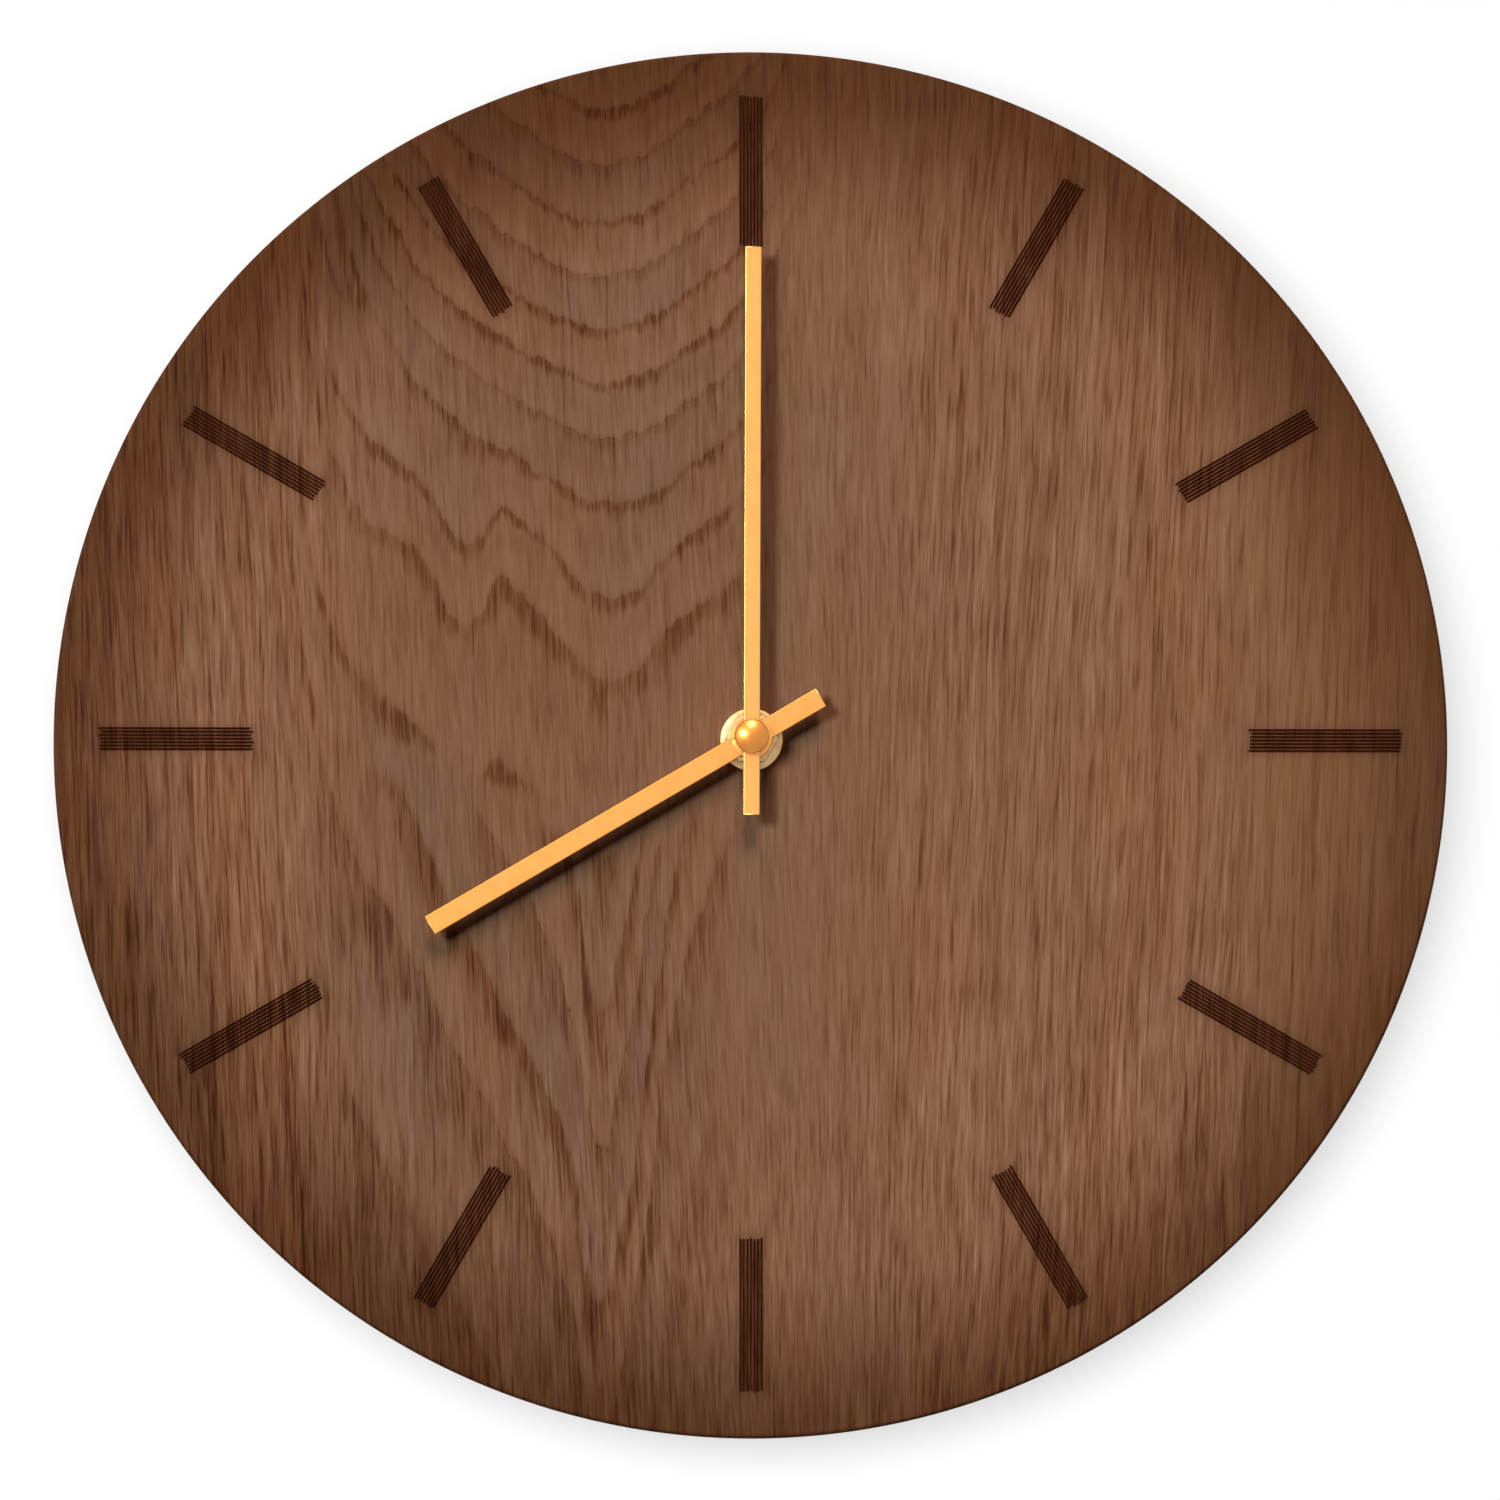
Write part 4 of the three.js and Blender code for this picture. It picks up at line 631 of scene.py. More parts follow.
# %% Fibre, pores and rays
def fibre_field(oak, where, waves, lines, late, side, low):
    """How pale the wood is at a point, how high its surface stands there, and where the pores are."""
    x_raw, depth, z_raw = oak.parts(where)
    # streaks of four widths, stronger at both sides
    lean = oak.between(x_raw, -20, 60, 0.04, -0.05)
    fibre = oak.node("CombineXYZ", sockets={0: x_raw + z_raw * lean + waves * 4, 1: depth, 2: z_raw})
    broad = oak.noise(oak.stretch(fibre, (0.12, 0.1, 0.007)), detail=2.0, rough=0.6) - 0.5
    band = oak.noise(oak.stretch(fibre, (0.3, 0.25, 0.018), (8, 1, 4)), detail=1.0) - 0.5
    streak = oak.noise(oak.stretch(fibre, (0.75, 0.4, 0.03), (3, 1, 5)), detail=1.5, rough=0.6) - 0.5
    narrow = oak.noise(oak.stretch(fibre, (1.4, 0.4, 0.085), (9, 1, 2)), detail=2.0, rough=0.65) - 0.5
    # pores and rays: short dark dashes and thin pale ones
    dash_field = oak.noise(oak.stretch(fibre, (1.6, 0.8, 0.06), (5, 2, 7)), detail=1.0)
    dashes = oak.between(dash_field + lines * 0.12 + side * 0.03, 0.56, 0.67)
    ray_field = oak.noise(oak.stretch(fibre, (1.9, 0.8, 0.05), (2, 9, 3)), detail=1.0)
    rays = oak.between(ray_field + side * 0.02, 0.6, 0.72)

    fine = oak.between(z_raw - x_raw * 0.3, -110, -50, 1.05, 0.6) + oak.between(x_raw, -120, -80, 0.25, 0.0)
    fine = fine * oak.between(x_raw, 92, 116, 1.0, 0.6)
    # sparse long slits in the smoother wood at the far right
    slit_field = oak.noise(oak.stretch(fibre, (0.8, 0.4, 0.02), (6, 3, 1)), detail=1.0)
    slits = oak.between(slit_field, 0.6, 0.66) * oak.between(x_raw, 88, 108)
    value = (0.5 + broad * 0.22 + band * (side * 0.3 + 0.12) + streak * (side * 0.32 + fine * 0.32)
             + narrow * fine * 1.1 - dashes * (side * 0.1 + 0.09) + rays * (side * 0.1 + 0.05)
             - slits * 0.13 - lines * (dashes * 0.1 + low * 0.05 + 0.15) + late * 0.07)
    height = streak * 0.2 + narrow * 0.3 + rays * 0.15 - dashes * 0.4 - lines * 0.15
    return value, height, dashes


# %% [markdown]
# A stain never lies evenly. Each ring takes it up a little differently, and redder and browner patches drift over
# the board. Towards the rim the wood is darkened further by painted shade. Each of these is one tone
# multiplied by a colour, as far as a mask says, so the fibre still shows through.

# %% The stain
def stained(oak, where, radius, wood, lines, each, arch):
    """The wood's tone, made redder, browner or darker where the stain lies thicker, and darkened towards the rim by
    painted shade.
    """
    x_raw, _, z_raw = oak.parts(where)
    # the wood between two ring lines is pinkish or greyish, from one ring to the next
    wood = scaled(oak, oak.between(each, 0.5, 0.7) * arch * 0.8, wood, (1.05, 0.985, 0.96))
    wood = scaled(oak, oak.between(each, 0.3, 0.5, 1.0, 0.0) * arch * 0.8, wood, (0.975, 0.975, 0.995))
    wood = scaled(oak, lines * 0.8, wood, (0.97, 0.87, 0.76))
    # a redder and a browner tone drift over the board, its left half is a little darker, its far right browner
    drift = oak.noise(oak.stretch(where, (0.03, 0.02, 0.012), (4, 4, 4)), detail=3.0)
    wood = scaled(oak, oak.between(drift, 0.38, 0.62), wood, (1.03, 0.97, 0.92))
    shade_end = oak.between(z_raw, -60, 60, -4, 16)
    shade = oak.between(x_raw, -108, -78) * oak.between(x_raw - shade_end, -34, 56, 1.0, 0.0)
    shade = shade * oak.between(radius, 100, 124, 1.0, 0.55)
    wood = scaled(oak, shade, wood, (0.81, 0.855, 0.86))
    wood = scaled(oak, oak.between(x_raw, 88, 124), wood, (0.9, 0.88, 0.81))
    # painted shade: the wood darkens towards the rim, most of all at the upper left, and the eased edge a little
    # more
    upright = (z_raw * z_raw - x_raw * x_raw) / (radius * radius + 1)
    painted_rim_shade = oak.between(radius + (z_raw - x_raw) * 0.024 + upright * 3.5 - upright * upright * 2, 105, 153)
    wood = scaled(oak, painted_rim_shade, wood, (0.42, 0.32, 0.21))
    wood = scaled(oak, oak.between(radius, 148.6, 149.8), wood, (0.88, 0.82, 0.85))
    return wood


# %% [markdown]
# The twelve hour marks are burnt into the face. Their grooves are darkest, the ridges between keep some of the
# wood's own colour, and the wood round a mark is faintly darker. Twelve copies of one sum would be a waste, so the
# angle round the dial is folded into a twelfth of a turn, and one mark's sum serves all twelve.

# %% The marks
MARK_OUTER = 140
MARK_LENGTH = 32.7
MARK_INNER = MARK_OUTER - MARK_LENGTH
GROOVES = 7
GROOVE_PITCH = 0.755
MARK_SIDE = 2.55  # half a mark's width, to the middle of its soft edge
BURNT_TONES = [(0.0, wood_tone(38, 18, 13)), (0.5, wood_tone(65, 33, 20)), (1.0, wood_tone(102, 60, 40))]


def hour_marks(oak, where, radius, value, wood):
    """The wood with its twelve burnt marks, and where these are."""
    x_raw, depth, z_raw = oak.parts(where)
    turn = x_raw.reckon("ARCTAN2", z_raw)
    twelfth = math.tau / 12
    hour = (turn / twelfth).reckon("ROUND")
    folded = turn - hour * twelfth
    across = radius * folded.reckon("SINE") / GROOVE_PITCH
    along = radius * folded.reckon("COSINE")
    front = oak.between(depth, 1.0, 1.4, 1.0, 0.0)
    # each groove starts and ends a little earlier or later than its neighbours
    groove_number = (across + 0.5).reckon("FLOOR")
    uneven = oak.node("TexWhiteNoise", {"noise_dimensions": "1D"}, {"W": groove_number + hour * 7.3}) - 0.5
    ragged = oak.noise(oak.stretch(where, (0.9, 0.9, 0.9)), detail=2.0) - 0.5
    ends = along + uneven * 0.9 + ragged * 0.5
    length = (oak.between(ends, MARK_INNER - 0.15, MARK_INNER + 0.25)
              * oak.between(ends, MARK_OUTER - 0.2, MARK_OUTER + 0.2, 1.0, 0.0))
    beside = across.reckon("ABSOLUTE") * GROOVE_PITCH + ragged * 0.2
    inside = oak.between(beside, MARK_SIDE - 0.15, MARK_SIDE + 0.15, 1.0, 0.0) * length * front
    groove = oak.between((across.reckon("FRACT") - 0.5).reckon("ABSOLUTE"), 0.12, 0.32)
    patch = oak.between(oak.noise(oak.stretch(where, (0.3, 0.3, 0.16), (2, 4, 1)), detail=2.0), 0.4, 0.62)
    patch = patch * oak.between(along, 107, 113) * oak.between(along, 137, 140, 1.0, 0.4)
    burnt = oak.ramp(value, BURNT_TONES)
    ridge = scaled(oak, 1.0, wood, (0.57, 0.44, 0.38))
    burnt = oak.tint(oak.mix(groove, oak.mix(patch, 0.15, 0.65), 1.0), ridge, burnt)
    # a faint darker halo round each mark
    halo = oak.between(beside, 2.4, 4.6, 1.0, 0.0) * oak.between(along, 104.5, 107.6)
    halo = halo * oak.between(along, 139.8, 142.5, 1.0, 0.0) * front
    wood = scaled(oak, halo * 0.3, wood, (0.5, 0.42, 0.38))
    return oak.tint(inside, wood, burnt), inside


print("marks reach from", round(MARK_INNER, 2), "to", MARK_OUTER, "mm from the arbor")

# %% [markdown]
# The steps are now put together. The router that cut the pockets went through the stained skin, so raw wood shows
# inside them. The surface is matt, a little rougher in the pores and roughest in the burnt marks.

# %% The oak's finish
STAINED_TONES = [(0.0, wood_tone(80, 46, 28)), (0.25, wood_tone(111, 73, 49)), (0.5, wood_tone(136, 97, 72)),
                 (0.75, wood_tone(153, 115, 91)), (1.0, wood_tone(171, 134, 112))]
RAW_TONES = [(0.0, shown(150, 108, 66)), (0.5, shown(192, 152, 104)), (1.0, shown(216, 180, 134))]


def oak_finish():
    """The rings, the fibre, the stain and the marks, as one material."""
    oak = Finish("stained_oak", IOR=1.45, Specular_IOR_Level=0.044)
    where = oak.place(centre=(ARBOR.x, FACE_Y, ARBOR.z))
    x_raw, depth, z_raw = oak.parts(where)
    radius = (x_raw * x_raw + z_raw * z_raw).reckon("SQRT")
    waves = oak.noise(oak.stretch(where, (0.022, 0.03, 0.012)), detail=2.0) - 0.5
    lines, late, each, arch, side, low = ring_lines(oak, where, waves)
    value, height, dashes = fibre_field(oak, where, waves, lines, late, side, low)
    wood = stained(oak, where, radius, oak.ramp(value, STAINED_TONES), lines, each, arch)
    wood, inside = hour_marks(oak, where, radius, value, wood)
    raw = oak.between(depth, 1.5, 2.5) * oak.between(depth, BOARD_T - 0.3, BOARD_T - 0.1, 1.0, 0.0)
    raw = raw * oak.between(radius, 110, 112, 1.0, 0.0)
    wood = oak.tint(raw, wood, oak.ramp(value, RAW_TONES))
    oak.feed(Base_Color=wood, Roughness=0.46 + dashes * 0.2 + inside * 0.25,
             Normal=oak.bump(height, 0.00006, 0.7))
    return oak


oak = oak_finish()
print("oak finish:", len(oak.tree.nodes), "nodes")

# %% [markdown]
# ## The dial board
# The real disc is sawn round, its face edge is eased, and its back is cut away at a slant so that the clock looks
# thin on the wall. A lathe makes that whole profile in one go: a line of points spun round the arbor. A point just
# inside each corner keeps the smooth shading of the corner from spreading over the flat face.

# %% The disc
EDGE_EASE = 0.8
EDGE_T = 1.8
RADIUS = DIAL_R / MM
case_low, case_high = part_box("rear_cover")
corner = [(math.sin(math.radians(a)), 1 - math.cos(math.radians(a))) for a in range(0, 91, 15)]
rim = [(RADIUS - EDGE_EASE + across * EDGE_EASE, drop * EDGE_EASE) for across, drop in corner]
board = turned("oak_board", [
    (0, 0), (RADIUS - EDGE_EASE - 0.05, 0), *rim, (RADIUS, EDGE_T - 0.25), (RADIUS - 0.1, EDGE_T + 0.1),
    (RADIUS - 0.6, EDGE_T + 0.6), (RADIUS - (BOARD_T - EDGE_T) + 0.3, BOARD_T - 0.3),
    (RADIUS - (BOARD_T - EDGE_T) - 0.1, BOARD_T), (RADIUS - (BOARD_T - EDGE_T) - 0.4, BOARD_T), (0, BOARD_T),
], steps=360)
print("disc:", len(board.data.polygons), "faces")

# %% [markdown]
# Each hour mark is seven fine grooves, burnt or cut side by side. One V-shaped cutter is made, then copied across
# and round the dial. All the cutters are one object in the end, so that one cut makes every groove.

# %% The grooves
GROOVE_W = 0.5
GROOVE_DEPTH = 0.35
PROUD = 0.2
half_width = GROOVE_W / 2 * (1 + PROUD / GROOVE_DEPTH)
cutter = stamped("groove_cutter", (-half_width, MARK_OUTER - MARK_LENGTH), (half_width, MARK_OUTER),
                 -PROUD, GROOVE_DEPTH)
bpy.ops.object.mode_set(mode="EDIT")
pick(cutter, "faces", lambda middle, normal: normal.y > 0.9)
bpy.ops.transform.resize(value=(0.04, 1, 1 - 0.4 / MARK_LENGTH), center_override=at(
    0, GROOVE_DEPTH, MARK_OUTER - MARK_LENGTH / 2))
bpy.ops.object.mode_set(mode="OBJECT")
side_by_side = [copied(cutter, "groove", move=((i - (GROOVES - 1) / 2) * GROOVE_PITCH, 0, 0))
                for i in range(GROOVES)]
bpy.data.objects.remove(cutter)
mark = joined(side_by_side, "mark_cutter")
marks = joined([copied(mark, "mark", turn=math.tau * hour / 12) for hour in range(12)], "marks_cutter")
bpy.data.objects.remove(mark)
combine(board, marks)
print("grooved disc:", len(board.data.polygons), "faces")

# %% [markdown]
# Behind, a router has cut a pocket for the movement, a shallow seat for the hanger and a deeper slot for the nail's
# head, and a hole for the threaded bush goes right through. These are plates with rounded corners, and each is cut
# out of the disc.

# %% The pockets in the back
hanger_low, hanger_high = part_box("hanger_plate")


def drawn(corner):
    """A place on the drawing, in millimetres, from a place in metres."""
    return ((corner.x - ARBOR.x) / MM, (corner.y - FACE_Y) / MM, (corner.z - ARBOR.z) / MM)


BUSH_ROOM_R = 4.1
CASE_ROOM = 2.0
SEAT_ROOM = 0.2
WEB = 4.0
left, _, bottom = drawn(case_low)
right, case_back, top = drawn(case_high)
combine(board, stamped("pocket", (left - CASE_ROOM, bottom - CASE_ROOM), (right + CASE_ROOM, top + CASE_ROOM),
                       WEB, BOARD_T + 1, corner=6))
left, hanger_front, bottom = drawn(hanger_low)
right, hanger_back, top = drawn(hanger_high)
seat_half = (top - bottom) / 2 + SEAT_ROOM
combine(board, stamped("hanger_seat", (left - SEAT_ROOM, bottom - SEAT_ROOM), (right + SEAT_ROOM, top + SEAT_ROOM),
                       hanger_front - 0.1, BOARD_T + 1, corner=seat_half - 0.01, steps=24))
NAIL_Z = -ARBOR.z / MM
SLOT_HALF_W = 6
SLOT_BELOW = 14.6
SLOT_ABOVE = 4.9
SLOT_DEPTH = 6.5
combine(board, stamped("nail_slot", (-SLOT_HALF_W, NAIL_Z - SLOT_BELOW), (SLOT_HALF_W, NAIL_Z + SLOT_ABOVE),
                       hanger_front - SLOT_DEPTH, BOARD_T, corner=SLOT_HALF_W - 0.01, steps=16))
combine(board, rod("bush_hole", BUSH_ROOM_R, -1, BOARD_T))
print("finished board:", len(board.data.polygons), "faces")
dress(board, oak, "board", ["dial_board"])

# %% [markdown]
# ## Brass
# Polished brass has no colour of its own in the ordinary sense: it tints what it mirrors. A rolled and polished
# strip still carries faint lines along its length, so its roughness and its bump come from a noise drawn out
# that way.

# %% Metal finishes for the front
def metal_finish(name, tone, worn, rough, grain=(4, 4, 4), bumpy=0.1, turn=0.0, uneven=0.1, **constants):
    """Metal with a tone, a duller tone in patches, and fine lines drawn out by grain."""
    metal = Finish(name, Metallic=1.0, **constants)
    where = metal.place(centre=ARBOR)
    if turn:
        where = metal.node("VectorRotate", {"rotation_type": "Y_AXIS"}, {"Vector": where, "Angle": turn})
    lines = metal.noise(metal.stretch(where, grain), detail=3.0, rough=0.6)
    patches = metal.noise(metal.stretch(where, (0.35, 0.35, 0.35), (3, 5, 1)), detail=3.0)
    base = metal.tint(metal.between(patches, 0.38, 0.66), tone, worn)
    base = metal.tint(metal.between(lines, 0.55, 0.8, 0.0, 0.4), base, worn)
    metal.feed(Base_Color=base, Roughness=rough + (lines - 0.5) * uneven + (patches - 0.5) * uneven,
               Normal=metal.bump(lines, 0.00001, bumpy))
    return metal


HOUR_TURN = math.radians(240 - 0.47)
minute_brass = metal_finish("minute_brass", shown(239, 171, 91), shown(233, 162, 84), 0.32,
                            grain=(9, 4, 0.12), bumpy=0.06, Coat_Weight=0.3, Coat_Roughness=0.25)
hour_brass = metal_finish("hour_brass", shown(239, 165, 83), shown(233, 156, 75), 0.32,
                          grain=(9, 4, 0.12), bumpy=0.06, turn=HOUR_TURN, Coat_Weight=0.3, Coat_Roughness=0.25)
cap_gold = metal_finish("cap_gold", shown(206, 128, 38), shown(196, 117, 28), 0.38, grain=(1, 6, 1), bumpy=0.1,
                        Coat_Weight=1.0, Coat_Roughness=0.24)
pale_brass = metal_finish("pale_brass", shown(202, 166, 118), shown(186, 148, 100), 0.44, grain=(1, 9, 1),
                          bumpy=0.05)
print("brass:", [brass.material.name for brass in (minute_brass, hour_brass, cap_gold, pale_brass)])

# %% [markdown]
# ## The hands
# Each hand is stamped from flat brass strip. Polishing has rounded its front edges a little, which gives it the thin
# bright line down the side that faces the lamp. Here it is a plate whose front edges are bevelled. The hour hand
# also has a round eye that grips its pipe. Both are made upright and then turned: a hand that was pushed on by
# somebody's fingers never points quite at the hour.

# %% The hands
HAND_ROUND = 0.22
MINUTE_W, MINUTE_LENGTH, MINUTE_TAIL = 3.55, 106.4, 16.8
HOUR_W, HOUR_LENGTH, HOUR_TAIL = 4.45, 80, 17.3
EYE_R = 4.45
PIPE_R = 2.55
MINUTE_TURN = math.radians(0.2)


def hand_bar(name, solid, width, length, tail):
    """A bar from its tail below the arbor to its tip above it, with rounded front edges."""
    low, high = (drawn(corner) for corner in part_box(solid))
    piece = stamped(name, (-width / 2, -tail), (width / 2, length), low[1], high[1])
    bpy.ops.object.mode_set(mode="EDIT")
    front = at(0, low[1], 0).y
    pick(piece, "edges", lambda middle, along: abs(along.y) < 0.5 and abs(middle.y - front) < 0.01 * MM)
    bpy.ops.mesh.bevel(offset=HAND_ROUND * MM, segments=3, affect="EDGES")
    bpy.ops.object.mode_set(mode="OBJECT")
    return piece


upright = hand_bar("minute_bar_upright", "minute_hand", MINUTE_W, MINUTE_LENGTH, MINUTE_TAIL)
minute_hand = copied(upright, "minute_bar", turn=MINUTE_TURN)
bpy.data.objects.remove(upright)
dress(minute_hand, minute_brass, "minute", ["minute_hand"], angle=80, flat=True)

hour_low, hour_high = (drawn(corner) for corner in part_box("hour_hand"))
upright = hand_bar("hour_bar_upright", "hour_hand", HOUR_W, HOUR_LENGTH, HOUR_TAIL)
eye = turned("hour_eye", [
    (0, hour_low[1]), (EYE_R - HAND_ROUND, hour_low[1]), (EYE_R - 0.065, hour_low[1] + 0.065),
    (EYE_R, hour_low[1] + HAND_ROUND), (EYE_R, hour_high[1]), (0, hour_high[1])], steps=72)
combine(upright, eye, "UNION")
combine(upright, rod("pipe_hole", PIPE_R, hour_low[1] - 1, hour_high[1] + 1))
hour_hand = copied(upright, "hour_bar", turn=HOUR_TURN)
bpy.data.objects.remove(upright)
dress(hour_hand, hour_brass, "hour", ["hour_hand"], angle=80, flat=True)

# %% [markdown]
# ## Cap, washer and nut
# A small domed cap screws down on the minute arbor, a thick washer spreads the load on the wood, and a hexagonal nut
# pulls the movement tight. All three are lathe work. The nut's six sides come from a six-sided prism, and its
# corners are rounded where it meets a turned cone.

# %% The cap
low, high = (drawn(corner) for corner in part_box("cap_nut"))
CAP_R = (high[0] - low[0]) / 2
CAP_BORE_R = 1.3
CAP_BORE = 2.3
DOME = 1.1
DOME_STEPS = 14
shares = [part / DOME_STEPS for part in range(DOME_STEPS - 1, 0, -1)]
dome = [(CAP_R * share, low[1] + DOME * share ** 2) for share in shares]
cap = turned("cap_dome", [
    (0, high[1] - CAP_BORE), (CAP_BORE_R, high[1] - CAP_BORE), (CAP_BORE_R, high[1]), (CAP_R - 0.25, high[1]),
    (CAP_R - 0.08, high[1] - 0.07), (CAP_R, high[1] - 0.25), (CAP_R, low[1] + DOME + 0.1),
    (CAP_R - 0.04, low[1] + DOME + 0.02), *dome, (0, low[1])], steps=72)
dress(cap, cap_gold, "minute", ["cap_nut"], angle=40)

# %% The washer
low, high = (drawn(corner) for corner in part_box("front_washer"))
WASHER_R = (high[0] - low[0]) / 2
NUT_BORE_R = 3.8
FLAT_R = 4.6
CROWN = 0.42
slopes = [math.radians(degrees) for degrees in range(0, 91, 9)]
crown = [(FLAT_R + (WASHER_R - FLAT_R) * math.sin(slope), low[1] + CROWN * (1 - math.cos(slope)))
         for slope in slopes]
washer = turned("dial_washer", [
    (NUT_BORE_R, high[1]), (NUT_BORE_R, low[1] + 0.1), (NUT_BORE_R + 0.1, low[1]), *crown,
    (WASHER_R, high[1] - 0.1), (WASHER_R - 0.1, high[1]), (NUT_BORE_R, high[1])], steps=96)
dress(washer, pale_brass, "board", ["front_washer"])

# %% The nut
low, high = (drawn(corner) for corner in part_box("hex_nut"))
FLATS = (high[2] - low[2]) / 2
bpy.ops.object.select_all(action="DESELECT")
bpy.ops.mesh.primitive_cylinder_add(vertices=6, radius=FLATS / math.cos(math.pi / 6) * MM,
                                    depth=(high[1] - low[1]) * MM, location=at(0, (low[1] + high[1]) / 2, 0),
                                    rotation=(math.radians(90), math.radians(30), 0))
nut = bpy.context.object
nut.name = "bush_nut"
bpy.ops.object.transform_apply(location=True, rotation=True, scale=True)
print("nut over its corners:", round(nut.dimensions.x / MM, 3), "mm, over its flats:", round(2 * FLATS, 3), "mm")
combine(nut, turned("nut_cone", [(0, low[1]), (FLATS - 0.1, low[1]), (FLATS + 0.9, low[1] + 0.55),
                                 (FLATS + 0.9, high[1]), (0, high[1])], steps=72), "INTERSECT")
combine(nut, turned("nut_bore", [(0, low[1] - 1), (BUSH_ROOM_R, low[1] - 1), (NUT_BORE_R, low[1] + 0.3),
                                 (NUT_BORE_R, high[1] + 1), (0, high[1] + 1)], steps=48))
soften(nut, 0.06, steps=2, angle=25)
dress(nut, pale_brass, "board", ["hex_nut"])

# %% [markdown]
# ## Plastics, rubber and card
# Moulded plastic shows the skin of its steel mould: a fine even pebble that softens the highlight, and a little
# unevenness of tone where it shrank. The same sum with other numbers gives rubber, resin and laminate.

# %% Moulded finishes
def moulded_finish(name, tone, worn, rough, pebble=5.0, bumpy=0.25, **constants):
    """A moulded surface with a pebbled skin and a slightly uneven tone."""
    skin = Finish(name, **constants)
    where = skin.place(centre=ARBOR)
    pebbles = skin.noise(where, scale=pebble, detail=2.0)
    patches = skin.noise(where, scale=0.12, detail=3.0)
    scuffs = skin.between(skin.noise(skin.stretch(where, (0.9, 0.9, 0.2), (2, 6, 4)), detail=4.0), 0.62, 0.72)
    base = skin.tint(skin.between(patches, 0.35, 0.65), tone, worn)
    base = skin.tint(scuffs * 0.35, base, worn)
    skin.feed(Base_Color=base, Roughness=rough + (pebbles - 0.5) * 0.15 + scuffs * 0.08,
              Normal=skin.bump(pebbles, 0.00004, bumpy))
    return skin


black_plastic = moulded_finish("black_plastic", shown(40, 40, 42), shown(52, 52, 54), 0.42, bumpy=0.35)
white_plastic = moulded_finish("white_plastic", shown(236, 233, 224), shown(226, 222, 210), 0.38, pebble=3.0,
                               bumpy=0.1)
rubber = moulded_finish("rubber", shown(44, 44, 45), shown(58, 57, 56), 0.8, pebble=8.0, bumpy=0.5)
resin = moulded_finish("resin", shown(26, 26, 28), shown(34, 34, 36), 0.22, pebble=0.7, bumpy=0.3)
magnet = moulded_finish("magnet", shown(84, 84, 88), shown(70, 70, 74), 0.45, pebble=6.0, bumpy=0.4, Metallic=0.6)
print("moulded:", [skin.material.name for skin in (black_plastic, white_plastic, rubber, resin, magnet)])

# %% [markdown]
# The metals of the movement and of its fixings need no sum of their own either. Zinc plating is spangled, a rolled
# strip is lined along its length, and copper and brass are warm.

# %% Steel, iron and copper finishes
zinc_steel = metal_finish("zinc_steel", shown(214, 214, 210), shown(188, 190, 190), 0.3, grain=(0.8, 0.8, 0.8),
                          bumpy=0.15, uneven=0.25)
bright_steel = metal_finish("bright_steel", shown(206, 209, 212), shown(182, 186, 190), 0.26,
                            grain=(0.4, 3, 5), bumpy=0.25, uneven=0.2)
hanger_steel = metal_finish("hanger_steel", shown(162, 165, 168), shown(146, 149, 153), 0.38,
                            grain=(0.4, 3, 5), bumpy=0.25, uneven=0.15)
yellow_zinc = metal_finish("yellow_zinc", shown(186, 154, 92), shown(166, 134, 78), 0.34, grain=(3, 6, 3))
motor_iron = metal_finish("motor_iron", shown(168, 170, 172), shown(140, 142, 145), 0.42, grain=(0.5, 4, 4),
                          bumpy=0.3)
bare_copper = metal_finish("bare_copper", shown(222, 146, 98), shown(190, 108, 66), 0.3, grain=(2, 6, 2))
bush_brass = metal_finish("bush_brass", shown(214, 190, 132), shown(196, 166, 106), 0.3, grain=(3, 12, 3),
                          bumpy=0.3)
print("yellow zinc:", len(yellow_zinc.tree.nodes), "nodes, as in each metal here")

# %% [markdown]
# Two finishes have a pattern of their own. The coil is thin enamelled wire in close rows, so a row is a fraction of
# the height, and the circuit board shows its copper tracks through a clear lacquer.

# %% Wound wire and the circuit board
def wire_finish():
    """Enamelled wire in close turns: the pitch gives the rows, and each row is a small round."""
    wire = Finish("wound_wire", Metallic=0.9)
    where = wire.place(centre=ARBOR)
    z = wire.parts(where)[2]
    wander = wire.noise(wire.stretch(where, (0.3, 0.3, 0.05)), detail=2.0) - 0.5
    turn = ((z + wander * 0.3) / 0.16).reckon("FRACT") - 0.5
    turn_height_and_painted_shade = 1 - turn * turn * 4
    # painted shade between the turns and a painted highlight on their tops; the same curve also gives the bump and
    # roughness
    base = wire.ramp(turn_height_and_painted_shade, [(0.0, shown(84, 32, 12)), (0.4, shown(176, 88, 42)), (1.0, shown(226, 140, 84))])
    wire.feed(Base_Color=base, Roughness=0.42 - turn_height_and_painted_shade * 0.14, Normal=wire.bump(turn_height_and_painted_shade, 0.00006, 0.8))
    return wire


def laminate_finish():
    """Paper laminate with copper tracks under a clear lacquer."""
    card = Finish("laminate")
    where = card.place(centre=ARBOR)
    x = card.parts(where)[0]
    fibres = card.noise(card.stretch(where, (3, 3, 0.6)), detail=3.0)
    wander = card.noise(card.stretch(where, (0.12, 0.12, 0.12)), detail=1.0) * 9
    track = card.between((((x + wander) / 1.7).reckon("FRACT") - 0.5).reckon("ABSOLUTE"), 0.2, 0.24, 1.0, 0.0)
    base = card.ramp(fibres, [(0.3, shown(176, 142, 78)), (0.7, shown(202, 170, 104))])
    base = card.tint(track, base, shown(198, 132, 76))
    card.feed(Base_Color=base, Roughness=0.42 - track * 0.14, Metallic=track * 0.7,
              Normal=card.bump(track + fibres * 0.2, 0.00003, 0.6))
    return card


wound_wire = wire_finish()
laminate = laminate_finish()
print("wire and laminate:", len(wound_wire.tree.nodes), "and", len(laminate.tree.nodes), "nodes")

# %% [markdown]
# The solids inside the movement are never seen closely, so they keep their own shape, and each gets its finish in
# its first material slot.

